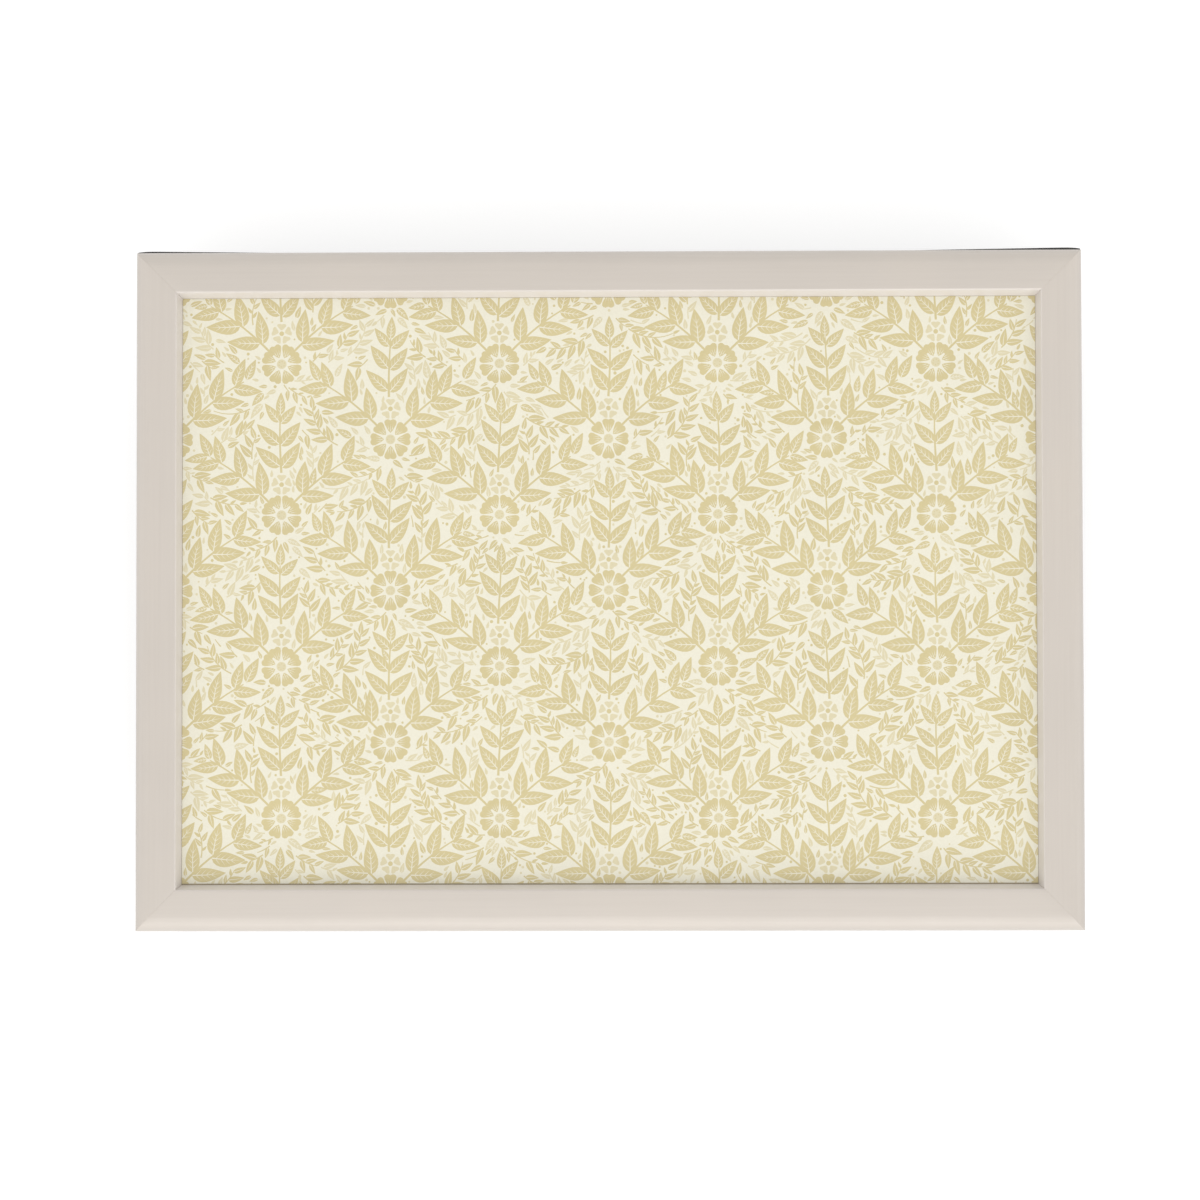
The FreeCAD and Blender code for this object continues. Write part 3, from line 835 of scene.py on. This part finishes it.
        # curved sprigs, single leaves and berries close the gaps that are left
        spots = np.array([(x, y) for x, y, _ in nodes])
        for big, reach, tries, kind in ((8.5, 22, 500, INK), (8.0, 18, 700, PALE),
                                        (6.5, 15, 900, INK), (6.0, 12, 900, PALE)):
            cells = np.argwhere(~self.used)
            for _ in range(tries):
                x, y, a, side = self.gap_at(cells, spots)
                if not self.hit(x, y):
                    self.sprig(x, y, a + side * 0.3, side * 0.055, reach, big, kind)
        for size, tries, kind in ((10.0, 700, INK), (9.0, 1000, PALE), (8.0, 1500, INK),
                                  (7.0, 2000, PALE), (6.0, 2400, INK), (5.0, 2600, PALE),
                                  (4.2, 2600, INK), (3.4, 2200, PALE)):
            cells = np.argwhere(~self.used)
            for _ in range(tries):
                x, y, a, side = self.gap_at(cells, spots)
                if not self.hit(x, y):
                    self.leaf(x, y, a + side * (0.55 + rng.gauss(0, 0.25)), size,
                              size * rng.uniform(0.36, 0.44), -side * rng.uniform(0.08, 0.20),
                              kind=kind, veins=size > 6.5, gap=0.42, share=0.0)
        cells = np.argwhere(~self.used)
        for _ in range(2300):
            x, y, _, _ = self.gap_at(cells, spots)
            self.disc(x, y, rng.uniform(0.45, 0.85), INK if rng.random() < 0.5 else PALE,
                      n=6, gap=0.45)
        # a fine dark line along the foot of the rails: dust, and painted shade where the rails
        # meet the panel, widest along the front rail
        a, b = SIGHT_X, SIGHT_Y
        for x0, y0, x1, y1 in ((-a, -b - 0.8, a, -b + 0.62), (-a, b - 0.10, a, b + 0.8),
                               (-a - 0.8, -b, -a + 0.14, b), (a - 0.12, -b, a + 0.8, b)):
            self.put(DUST_SHADE, [(x0, y0), (x1, y0), (x1, y1), (x0, y1)])
        return self.shapes


def printed_panel():
    shapes = Print(11).draw()
    pts = [Vector((-SHEET_X, -SHEET_Y)), Vector((SHEET_X, -SHEET_Y)),
           Vector((SHEET_X, SHEET_Y)), Vector((-SHEET_X, SHEET_Y))]
    faces, kinds = [[0, 1, 2, 3]], [GROUND]
    for kind, ring in shapes:
        area = sum(a[0] * b[1] - b[0] * a[1] for a, b in zip(ring, ring[1:] + ring[:1]))
        if area < 0:
            ring = ring[::-1]
        faces.append(list(range(len(pts), len(pts) + len(ring))))
        pts += [Vector(p) for p in ring]
        kinds.append(kind)
    flat, _, tris, _, _, origin = delaunay_2d_cdt(pts, [], faces, 0, 1e-5, True)
    keep, index = [], []
    for t, source in zip(tris, origin):
        if 0 in source:
            keep.append(list(t))
            index.append(kinds[max(source)])
    used = sorted({v for t in keep for v in t})
    new = {v: i for i, v in enumerate(used)}
    verts = [(flat[v].x, flat[v].y, SHEET_Z1) for v in used]
    tris = [[new[v] for v in t] for t in keep]
    # the rim: walk the open edges once round, then close the sheet below
    nxt, seen = {}, set()
    for t in tris:
        seen |= {(t[0], t[1]), (t[1], t[2]), (t[2], t[0])}
    for a, b in seen:
        if (b, a) not in seen:
            nxt[a] = b
    start = min(nxt)
    loop, v = [], start
    while True:
        loop.append(v)
        v = nxt[v]
        if v == start:
            break
    base = len(verts)
    verts += [(verts[v][0], verts[v][1], SHEET_Z0 + 0.02) for v in loop]
    n = len(loop)
    for i in range(n):
        j = (i + 1) % n
        tris.append([loop[j], loop[i], base + i, base + j])
        index.append(GROUND)
    tris.append([base + i for i in range(n)][::-1])
    index.append(GROUND)
    obj = new_mesh("printed_panel", verts, tris, prints, index, spread=0.004)
    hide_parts("decor_laminate")
    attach(obj, "tray")
    return obj


printed_panel()


# --------------------------------------------------------------------------
# Board, backing and fasteners keep their constructed shapes
# --------------------------------------------------------------------------
for node, finish in (("panel_board", board), ("backing_sheet", paper),
                     ("panel_points", steel), ("corner_v_nails", steel),
                     ("strip_staples", steel)):
    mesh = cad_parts[node].data
    mesh.materials.clear()
    mesh.materials.append(finish)


# --------------------------------------------------------------------------
# Hook and loop tapes
# --------------------------------------------------------------------------
def tape_rows():
    """node ending, centre, half length along x or y."""
    return (("front", (0.0, -TAPE_Y), 0, TAPE_LONG), ("back", (0.0, TAPE_Y), 0, TAPE_LONG),
            ("left", (-TAPE_X, 0.0), 1, TAPE_SHORT), ("right", (TAPE_X, 0.0), 1, TAPE_SHORT))


def tape_ground(length, z0, z1):
    """A thin rounded strip with a slight selvedge along both sides."""
    outline = []
    r, n = 1.5, 5
    for sx, sy, a0 in ((1, -1, -90), (1, 1, 0), (-1, 1, 90), (-1, -1, 180)):
        for i in range(n + 1):
            a = math.radians(a0 + 90 * i / n)
            outline.append((sx * (length / 2 - r) + r * math.cos(a),
                            sy * (TAPE / 2 - r) + r * math.sin(a)))
    m = len(outline)
    verts, faces = [], []
    e = 0.12
    levels = [(z0, e), (z0 + e, 0.0), (z1 - e, 0.0), (z1, e), (z1 - 0.10, 1.3), (z1 - 0.10, 1.6)]
    for z, inset in levels:
        for x, y in outline:
            verts.append((x - math.copysign(inset, x) if abs(x) > length / 2 - 2 else x,
                          y - math.copysign(min(inset, abs(y)), y), z))
    for k in range(len(levels) - 1):
        for i in range(m):
            j = (i + 1) % m
            faces.append([k * m + i, k * m + j, (k + 1) * m + j, (k + 1) * m + i])
    faces.append(list(range(m))[::-1])
    top = (len(levels) - 1) * m
    faces.append([top + i for i in range(m)])
    return verts, faces


def tubes(paths, r, sides, first, taper=1.0):
    """Thin closed tubes, one along each row of points; first is the number
    that their first vertex gets."""
    p = np.asarray(paths, float)
    count, n, _ = p.shape
    t = np.gradient(p, axis=1)
    t /= np.linalg.norm(t, axis=2, keepdims=True)
    ref = np.broadcast_to(np.array((0.31, 0.17, 0.93)), p.shape).copy()
    ref[np.abs(t[:, 0, 2]) >= 0.8] = (0.9, 0.4, 0.1)
    a = np.cross(t, ref)
    a /= np.linalg.norm(a, axis=2, keepdims=True)
    b = np.cross(t, a)
    w = 2 * np.pi * np.arange(sides) / sides
    size = r * np.linspace(1.0, taper, n)[None, :, None, None]
    v = p[:, :, None, :] + size * (np.cos(w)[:, None] * a[:, :, None, :]
                                   + np.sin(w)[:, None] * b[:, :, None, :])
    one = []
    for i in range(n - 1):
        for s in range(sides):
            s2 = (s + 1) % sides
            one.append([i * sides + s, i * sides + s2, (i + 1) * sides + s2, (i + 1) * sides + s])
    caps = [list(range(sides))[::-1], [(n - 1) * sides + s for s in range(sides)]]
    base = first + np.arange(count)[:, None, None] * n * sides
    faces = (np.array(one)[None] + base).reshape(-1, 4).tolist()
    faces += (np.array(caps)[None] + base).reshape(-1, sides).tolist()
    return v.reshape(-1, 3), faces


def lay(verts, centre, along, z=0.0):
    v = np.array(verts, float)
    if along == 1:
        v[..., 0], v[..., 1] = -v[..., 1], v[..., 0].copy()
    return v + np.array((centre[0], centre[1], z))


STAPLES = {0: (-168.0, -84.0, 0.0, 84.0, 168.0), 1: (-108.0, -36.0, 36.0, 108.0)}


def hook_strip(end, centre, along, length):
    rng = random.Random(len(end) * 7 + along)
    verts, faces = tape_ground(length, 0.0, 0.7)
    verts = [(x, -y, -z) for x, y, z in verts]          # its face looks down
    ground = len(faces)
    pitch, row = 1.75, 1.5
    rows = 7
    count = int((length - 4) / pitch)
    paths = []
    for j in range(rows):
        y = (j - (rows - 1) / 2) * row
        for i in range(count):
            x = (i - (count - 1) / 2) * pitch + (pitch / 2 if j % 2 else 0) + rng.uniform(-.1, .1)
            if any(abs(x - s) < 5.8 and abs(y) < 1.1 for s in STAPLES[along]):
                continue
            way = 1 if j % 2 else -1
            lean = rng.uniform(-0.12, 0.12)
            paths.append([(x, y, -0.6), (x + 0.02 * way, y + lean * .3, -0.98),
                          (x + 0.12 * way, y + lean * .6, -1.20),
                          (x + 0.34 * way, y + lean * .9, -1.27),
                          (x + 0.52 * way, y + lean, -1.15), (x + 0.56 * way, y + lean, -1.0)])
    more, hooks = tubes(paths, 0.12, 4, len(verts), 0.75)
    index = [0] * ground + [1] * len(hooks)
    verts = lay(np.vstack((verts, more)), centre, along, HOOK_Z1)
    obj = new_mesh("hook_tape_" + end, verts, faces + hooks, [hook_ground, hook_nylon], index,
                   smooth=40, spread=0.01)
    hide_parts("hook_strip_" + end)
    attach(obj, "tray")


def loop_strip(end, centre, along, length):
    rng = np.random.default_rng(len(end) * 11 + along)
    verts, faces = tape_ground(length, 0.0, 0.7)
    ground = len(faces)
    count = int(length * 5.2)

    def draw(lo, hi):
        return rng.uniform(lo, hi, count)[:, None]

    x, y = draw(-length / 2 + 1.2, length / 2 - 1.2), draw(-TAPE / 2 + 2.0, TAPE / 2 - 2.0)
    a, w, h = draw(0, math.pi), draw(0.35, 0.75), draw(0.30, 0.62)
    tilt = draw(-0.35, 0.35)
    t = np.linspace(0, math.pi, 6)[None, :]
    c, q = -w * np.cos(t), np.sin(t)
    paths = np.stack((x + c * np.cos(a) - tilt * q * np.sin(a),
                      y + c * np.sin(a) + tilt * q * np.cos(a),
                      0.56 + (h + 0.12) * q), 2)
    more, pile = tubes(paths, 0.055, 3, len(verts))
    index = [0] * ground + [1] * len(pile)
    verts = lay(np.vstack((verts, more)), centre, along, LOOP_Z0)
    obj = new_mesh("loop_tape_" + end, verts, faces + pile, [loop_ground, loop_nylon], index,
                   smooth=40, spread=0.01)
    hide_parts("loop_strip_" + end)
    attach(obj, "cushion")


for row in tape_rows():
    hook_strip(*row)
    loop_strip(*row)


def stitch_run(points, length, gap, closed=True):
    """Lockstitches along a run of (x, y, z) points: one short path each."""
    p = np.asarray(points, float)
    if closed:
        p = np.vstack((p, p[:1]))
    s = np.concatenate(([0], np.cumsum(np.linalg.norm(np.diff(p, axis=0), axis=1))))
    count = int(round(s[-1] / (length + gap)))
    at = (np.arange(count) * s[-1] / count)[:, None] \
        + length * np.array((0.0, 0.10, 0.30, 0.70, 0.90, 1.0))[None, :]
    at = at % s[-1] if closed else np.minimum(at, s[-1])
    path = np.stack([np.interp(at, s, p[:, k]) for k in range(3)], 2)
    path[:, :, 2] += np.array((-0.30, 0.02, 0.08, 0.08, 0.02, -0.30))
    return path


def strip_stitching():
    """A run of stitches inside the edge of each loop tape."""
    runs = []
    for end, centre, along, length in tape_rows():
        x, y = length / 2 - 1.5, TAPE / 2 - 1.35
        r = 0.8
        ring = []
        for sx, sy, a0 in ((1, -1, -90), (1, 1, 0), (-1, 1, 90), (-1, -1, 180)):
            for i in range(4):
                a = math.radians(a0 + 30 * i)
                ring.append((sx * (x - r) + r * math.cos(a), sy * (y - r) + r * math.sin(a),
                             LOOP_Z0 + 0.68))
        runs.append(stitch_run(lay(ring, centre, along), 2.3, 0.75))
    verts, faces = tubes(np.vstack(runs), 0.19, 6, 0)
    obj = new_mesh("tape_stitching", verts, faces, [thread], smooth=60, spread=0.01)
    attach(obj, "cushion")


strip_stitching()


# --------------------------------------------------------------------------
# Cushion: two fabric panels sewn together all round, filled with beads
# --------------------------------------------------------------------------
NX, NY, SIDE = 98, 73, 12               # cells across, cells deep, rings down the side
EDGE_X, EDGE_Y = 218.0, 156.2           # the seam at the middle of each side


def ears(x, y):
    """How far the seam stands out towards its corners, per axis."""
    tx, ty = x / EDGE_X, abs(y) / EDGE_Y
    if y > 0:                           # it sits a little askew under the tray
        out_y = 2.4 + (2.9 if tx > 0 else 2.6) * abs(tx) ** 1.2
    else:
        out_y = 2.0 * tx ** 2
    return 3.0 * ty ** 2.0 + ((1.5 if x < 0 else 1.0) * ty ** 6.0 if y > 0 else 0.0), out_y


def ring_place(i, j, k, inset, radius):
    """A point of ring k of the grid, on a rounded rectangle."""
    a, b = EDGE_X - inset, EDGE_Y - inset
    x = -a + 2 * a * (i - k) / (NX - 2 * k)
    y = -b + 2 * b * (j - k) / (NY - 2 * k)
    r = min(radius, a, b)
    cx, cy = a - r, b - r
    if abs(x) > cx and abs(y) > cy and r > 0:
        dx, dy = abs(x) - cx, abs(y) - cy
        d = math.hypot(dx, dy)
        big = max(dx, dy)
        x = math.copysign(cx + dx / d * big, x)
        y = math.copysign(cy + dy / d * big, y)
    return x, y


def cushion_rest():
    """Both panels as grids that share the seam: points in millimetres, faces,
    ring and panel of every point, and the weave's layout."""
    top_in = [0.0, 2.4, 6.0]
    step = (EDGE_Y - 6.0) / (NY // 2 - 2 + 0.5)
    while len(top_in) <= NY // 2:
        top_in.append(top_in[-1] + step)
    prof = np.array([(0.0, 46.0), (0.5, 41.5), (0.9, 36.0), (2.1, 29.0), (4.8, 21.5),
                     (9.6, 14.0), (16.8, 7.4), (26.5, 2.6), (38.0, 0.6)])
    s = np.concatenate(([0], np.cumsum(np.hypot(*np.diff(prof, axis=0).T))))
    side = [(np.interp(s[-1] * k / SIDE, s, prof[:, 0]),
             np.interp(s[-1] * k / SIDE, s, prof[:, 1])) for k in range(SIDE + 1)]
    step2 = (EDGE_Y - 38.0) / (NY // 2 - SIDE + 0.5)
    ident, pts, info = {}, [], []

    def point(panel, i, j):
        k = min(i, j, NX - i, NY - j)
        key = (0 if k == 0 else panel, i, j)
        if key in ident:
            return ident[key]
        if panel == 0 or k == 0:
            inset = top_in[k]
            radius = max(1.5 - inset, 0.5)
            z = 46.0 if k == 0 else 49.86
            if k >= 2:
                z += 1.6 * float(smooth01((inset - 17.0) / 60.0))
        elif k <= SIDE:
            inset, z = side[k]
            radius = 1.5 + 68.5 * (k / SIDE) ** 1.1
        else:
            inset = 38.0 + (k - SIDE) * step2
            z = 0.6
            radius = max(70.0 - (inset - 38.0), 0.5)
        x, y = ring_place(i, j, k, inset, radius)
        ox, oy = ears(x, y)
        fade = max(0.0, 1.0 - inset / 30.0)
        x += math.copysign(ox * fade * (abs(x) / EDGE_X) ** 3, x)
        y += math.copysign(oy * fade * (abs(y) / EDGE_Y) ** 3, y)
        ident[key] = len(pts)
        pts.append((x, y, z))
        info.append((panel, k, i, j))
        return ident[key]

    faces, lay_out = [], []
    cell = ((4.47, 4.3), (5.02, 4.95))
    for panel in (0, 1):
        for i in range(NX):
            for j in range(NY):
                at = [(i, j), (i + 1, j), (i + 1, j + 1), (i, j + 1)]
                if panel == 1:
                    at = at[::-1]
                faces.append([point(panel, *q) for q in at])
                lay_out += [((q[0] - NX / 2) * cell[panel][0],
                             (q[1] - NY / 2) * cell[panel][1] + 700.0 * panel) for q in at]
    return np.array(pts), faces, np.array(info), np.array(lay_out)


def plump(pts, faces, held, loose):
    """Cloth under the pressure of the fill; returns the settled points."""
    obj = new_mesh("cushion_cloth", pts, faces, [])
    group = obj.vertex_groups.new(name="held")
    group.add([int(v) for v in np.flatnonzero(held)], 1.0, "REPLACE")
    slack = obj.vertex_groups.new(name="slack")
    for v, w in enumerate(loose):
        slack.add([v], float(w), "REPLACE")
    mod = obj.modifiers.new("cloth", "CLOTH")
    c = mod.settings
    c.quality = 6
    c.mass = 0.25
    c.air_damping = 2.0
    c.tension_stiffness = c.compression_stiffness = 18.0
    c.shear_stiffness = 6.0
    c.bending_stiffness = 0.2
    c.tension_damping = c.compression_damping = c.shear_damping = 12.0
    c.bending_damping = 0.6
    c.vertex_group_mass = "held"
    c.pin_stiffness = 1.0
    c.use_pressure = True
    c.uniform_pressure_force = 4.0
    c.vertex_group_shrink = "slack"
    c.shrink_min = 0.0
    c.shrink_max = -0.075
    c.effector_weights.gravity = 0.0
    mod.collision_settings.use_collision = False
    mod.collision_settings.use_self_collision = False
    mod.point_cache.frame_start = 1
    mod.point_cache.frame_end = 26
    for f in range(1, 27):
        scene.frame_set(f)
    dg = bpy.context.evaluated_depsgraph_get()
    ev = obj.evaluated_get(dg)
    out = np.empty(len(pts) * 3, np.float64)
    ev.data.vertices.foreach_get("co", out)
    scene.frame_set(1)
    mesh = obj.data
    bpy.data.objects.remove(obj)
    bpy.data.meshes.remove(mesh)
    return out.reshape(-1, 3) / MM


def at_corner(co, wide, deep):
    """1 on the diagonal at a corner, less to both sides and further in."""
    in_x, in_y = EDGE_X - np.abs(co[:, 0]), EDGE_Y - np.abs(co[:, 1])
    return np.exp(-((in_x - in_y) / wide) ** 2 - (np.minimum(in_x, in_y) / deep) ** 2)


def rein_in(co, which):
    """Draws points that stand out past the seam back to it, softly."""
    for v in which:
        ox, oy = ears(co[v, 0], co[v, 1])
        for axis, limit in ((0, EDGE_X + ox + 0.3), (1, EDGE_Y + oy + 0.3)):
            over = limit - abs(co[v, axis])
            if over < 6.0:
                co[v, axis] = math.copysign(limit - 0.9 * math.log1p(math.exp(over / 0.9)),
                                            co[v, axis])


def cushion():
    pts, faces, info, lay_out = cushion_rest()
    panel, ring = info[:, 0], info[:, 1]
    x, y = np.abs(pts[:, 0]), np.abs(pts[:, 1])
    under = ((np.abs(y - TAPE_Y) < TAPE / 2 + 0.6) & (x < TAPE_LONG / 2 + 1)) | \
            ((np.abs(x - TAPE_X) < TAPE / 2 + 0.6) & (y < TAPE_SHORT / 2 + 1))
    held = (ring == 0) | ((panel == 0) & under)
    # a little unevenness in the cut, so that the folds don't mirror
    start = pts.copy()
    free = ~held
    wob = np.array([noise.noise_vector(Vector((p[0] / 38, p[1] / 38, p[2] / 38 + 9 * s)))
                    for p, s in zip(pts, panel)])
    start[free] += 0.9 * wob[free]
    loose = np.where(panel == 1, np.where(ring <= SIDE + 3, 1.0, 0.55), 0.35)
    loose = loose * np.where(held, 0.0, 1.0)
    done = plump(start, faces, held, loose)
    move = done - pts
    far = np.linalg.norm(move, axis=1)
    cap = np.where(panel == 0, 6.0, 9.0)
    move *= (cap * np.tanh(far / cap) / np.maximum(far, 1e-9))[:, None]
    # the sewn corners keep their cut shape, or the cloth folds in on itself
    move *= (1.0 - 0.9 * at_corner(pts, 34.0, 90.0))[:, None]
    done = pts + move
    # its sides swell no further than the seam, and it stands on a flat surface,
    # below the panel and the tapes
    rein_in(done, np.flatnonzero((panel == 1) & ~held))
    low = done[:, 2]
    done[:, 2] = np.where(low < 2.0, 2.0 * np.exp(np.minimum(low - 2.0, 0) / 2.0), low)
    flat = (panel == 1) & (ring > SIDE + 1)
    done[flat, 2] = np.minimum(done[flat, 2], 0.4)
    done[:, 2] = np.maximum(done[:, 2], 0.02)
    top = panel == 0
    done[top & ~held, 2] = np.minimum(done[top & ~held, 2], 56.5)
    rim = top & ~held & ((np.abs(done[:, 1]) > 141) | (np.abs(done[:, 0]) > 203))
    done[rim, 2] = np.minimum(done[rim, 2], 50.6)

    mesh_obj = new_mesh("cushion_base", done, faces, [canvas], smooth=180,
                        uv={"weave": lay_out, "OFBake": bake_layout(lay_out)})
    seam = mesh_obj.data.attributes.new("crease_edge", "FLOAT", "EDGE")
    edges = np.empty(len(mesh_obj.data.edges) * 2, np.int32)
    mesh_obj.data.edges.foreach_get("vertices", edges)
    edges = edges.reshape(-1, 2)
    on_seam = (ring[edges[:, 0]] == 0) & (ring[edges[:, 1]] == 0)
    seam.data.foreach_set("value", on_seam.astype(np.float32) * 0.9)
    sub = mesh_obj.modifiers.new("round", "SUBSURF")
    sub.levels = sub.render_levels = 1
    dg = bpy.context.evaluated_depsgraph_get()
    mesh = bpy.data.meshes.new_from_object(mesh_obj.evaluated_get(dg))
    mesh.name = "cushion_cover"
    old = mesh_obj.data
    bpy.data.objects.remove(mesh_obj)
    bpy.data.meshes.remove(old)
    obj = bpy.data.objects.new("cushion_cover", mesh)
    scene.collection.objects.link(obj)
    gather(mesh)
    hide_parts("cover_top", "cover_bottom")
    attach(obj, "cushion")
    return obj, done, faces, ring, panel


def bake_layout(lay_out):
    """Both panels side by side on 0..1."""
    p = np.array(lay_out, float)
    second = p[:, 1] > 350
    p[second, 1] -= 700.0 - 375.0
    lo, hi = p.min(0), p.max(0)
    return 0.005 + 0.99 * (p - lo) / (hi - lo).max()


def gather(mesh):
    """Puckers along the seam, folds that run from the corners, and creases
    above the surface it stands on, all moved along the normals."""
    n = len(mesh.vertices)
    co = np.empty(n * 3)
    mesh.vertices.foreach_get("co", co)
    co = co.reshape(-1, 3) / MM
    nr = np.empty(n * 3)
    mesh.vertices.foreach_get("normal", nr)
    nr = nr.reshape(-1, 3)
    amount = np.zeros(n)

    def field(*at):
        return noise.noise(Vector(at))

    for v in range(n):
        x, y, z = co[v]
        if z > SEAM_Z + 0.3:
            if (abs(abs(y) - TAPE_Y) > TAPE / 2 + 1.5) and (abs(abs(x) - TAPE_X) > TAPE / 2 + 1.5):
                amount[v] = 0.5 * field(x / 24.0, y / 24.0, 4.2)
            continue
        down = SEAM_Z - z
        if down < 0.3 or z < 1.2:
            continue
        in_x, in_y = EDGE_X - abs(x), EDGE_Y - abs(y)
        on_end = in_x < in_y                            # which side it lies on
        along, away = (y, in_y) if on_end else (x, in_x)
        which = (61.0 if x > 0 else 23.0) if on_end else (7.0 if y > 0 else 41.0)
        fade = min(1.0, abs(in_x - in_y) / 30.0)        # none of it on the diagonal
        fade = fade * fade * (3.0 - 2.0 * fade)
        # puckers: soft pleats with a crease between them
        w = field(along / 19.0, which, z / 70.0)
        wave = 0.6 + 0.6 * field(along / 50.0, which + 5.0, 0.0)
        amount[v] -= 4.4 * fade * wave * math.exp(-(w / 0.22) ** 2) \
            * math.exp(-down / 17.0) * min(1.0, down / 4.0)
        # drag folds that fan out from the nearer corner
        reach = math.hypot(max(away, 0.0), down)
        fan = math.atan2(down, max(away, 0.0) + 1e-6)
        turn = 2.0 * (x > 0) + 3.7 * (y > 0)
        lines = math.sin(7.0 * fan + turn + 1.2 * field(reach / 26.0, turn, 2.0))
        amount[v] += 2.4 * lines * math.exp(-reach / 60.0) * min(1.0, reach / 18.0) \
            * (0.1 + 0.9 * fade)
        # long slack folds, and lumps where the beads have settled
        slack = field(along / 62.0, which + 9.0, z / 15.0)
        amount[v] += 2.8 * fade * slack * min(1.0, down / 12.0)
        amount[v] += 1.0 * field(x / 24.0, y / 24.0, z / 18.0)
    amount *= np.clip((co[:, 2] - 1.2) / 5.0, 0.0, 1.0)
    co += nr * amount[:, None]
    co[:, 2] = np.maximum(co[:, 2], 0.0)
    rein_in(co, np.flatnonzero((co[:, 2] < SEAM_Z - 0.3) & (amount > 0.0)))
    mesh.vertices.foreach_set("co", (co * MM).ravel())
    mesh.update()


cover, cover_pts, cover_faces, cover_ring, cover_panel = cushion()


def bead_body():
    """The fill, a little inside the cover."""
    co = np.array(cover_pts)
    mesh = new_mesh("bead_fill_body", co, cover_faces, [beads], smooth=180)
    nr = np.empty(len(co) * 3)
    mesh.data.vertices.foreach_get("normal", nr)
    nr = nr.reshape(-1, 3)
    co = co - nr * 9.0
    co[:, 2] = np.clip(co[:, 2], 1.2, 48.0)
    mesh.data.vertices.foreach_set("co", (co * MM).ravel())
    mesh.data.update()
    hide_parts("bead_fill")
    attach(mesh, "cushion")


bead_body()


# --------------------------------------------------------------------------
# Floor, light and camera
# --------------------------------------------------------------------------
def floor():
    """A pale light table."""
    k = Look("studio_floor", Roughness=0.9)
    n = k.noise(k.place((1, 1, 1)), 3.0, 2.0)
    k.colour(k.ramp(n, (0.3, (0.54, 0.54, 0.54, 1)), (0.7, (0.56, 0.56, 0.56, 1))))
    k.shader.inputs["Specular IOR Level"].default_value = 0.1
    k.shader.inputs["Emission Color"].default_value = (1, 1, 1, 1)
    k.shader.inputs["Emission Strength"].default_value = 0.58
    s = 9000.0
    obj = new_mesh("floor", [(-s, -s, -0.3), (s, -s, -0.3), (s, s, -0.3), (-s, s, -0.3)],
                   [[0, 1, 2, 3]], [k.mat])


floor()

def tent(zenith, wall, front, right):
    """A white tent: zenith is its brightness overhead, wall what its sides
    add near the horizon, front and right how much brighter it is there."""
    world = bpy.data.worlds.new("studio")
    scene.world = world
    world.use_nodes = True
    tree = world.node_tree
    back = tree.nodes["Background"]
    back.inputs["Color"].default_value = (1.0, 0.995, 0.985, 1)
    way = tree.nodes.new("ShaderNodeTexCoord").outputs["Generated"]
    dot = tree.nodes.new("ShaderNodeVectorMath")
    dot.operation = "DOT_PRODUCT"
    dot.name = "slope"
    dot.inputs[1].default_value = (right, -front, -wall)
    tree.links.new(way, dot.inputs[0])
    plus = tree.nodes.new("ShaderNodeMath")
    plus.operation = "ADD"
    plus.name = "level"
    plus.inputs[1].default_value = zenith + wall
    tree.links.new(dot.outputs["Value"], plus.inputs[0])
    keep = tree.nodes.new("ShaderNodeMath")
    keep.operation = "MAXIMUM"
    keep.inputs[1].default_value = 0.02
    tree.links.new(plus.outputs["Value"], keep.inputs[0])
    tree.links.new(keep.outputs["Value"], back.inputs["Strength"])


tent(1.0, 0.20, 0.14, 0.0)


def softbox(name, place, aim, size, power, colour=(1, 1, 1)):
    data = bpy.data.lights.new(name, "AREA")
    data.shape = "RECTANGLE"
    data.size, data.size_y = size
    data.energy = power
    data.color = colour
    obj = bpy.data.objects.new(name, data)
    obj.location = place
    obj.rotation_euler = (Vector(aim) - Vector(place)).to_track_quat("-Z", "Y").to_euler()
    scene.collection.objects.link(obj)


softbox("key", (0.3, -2.4, 3.2), (0, 0, 0.05), (2.6, 2.0), 27.0, (1.0, 0.99, 0.975))
softbox("front", (0.3, -2.9, 1.25), (0, 0, 0.05), (2.4, 0.8), 14.0, (1.0, 0.995, 0.985))

cam_data = bpy.data.cameras.new("camera")
cam_data.lens = 125.1
cam_data.sensor_width = 36.0
cam_data.clip_start, cam_data.clip_end = 0.05, 60.0
cam = bpy.data.objects.new("camera", cam_data)
cam.location = (0.03, -0.08, 2.0)
cam.rotation_euler = tuple(math.radians(a) for a in (2.2289, 1.0129, -0.1044))
scene.collection.objects.link(cam)
scene.camera = cam

scene.view_settings.view_transform = "Standard"
scene.view_settings.look = "None"
scene.view_settings.exposure = 0.0
scene.view_settings.gamma = 1.0
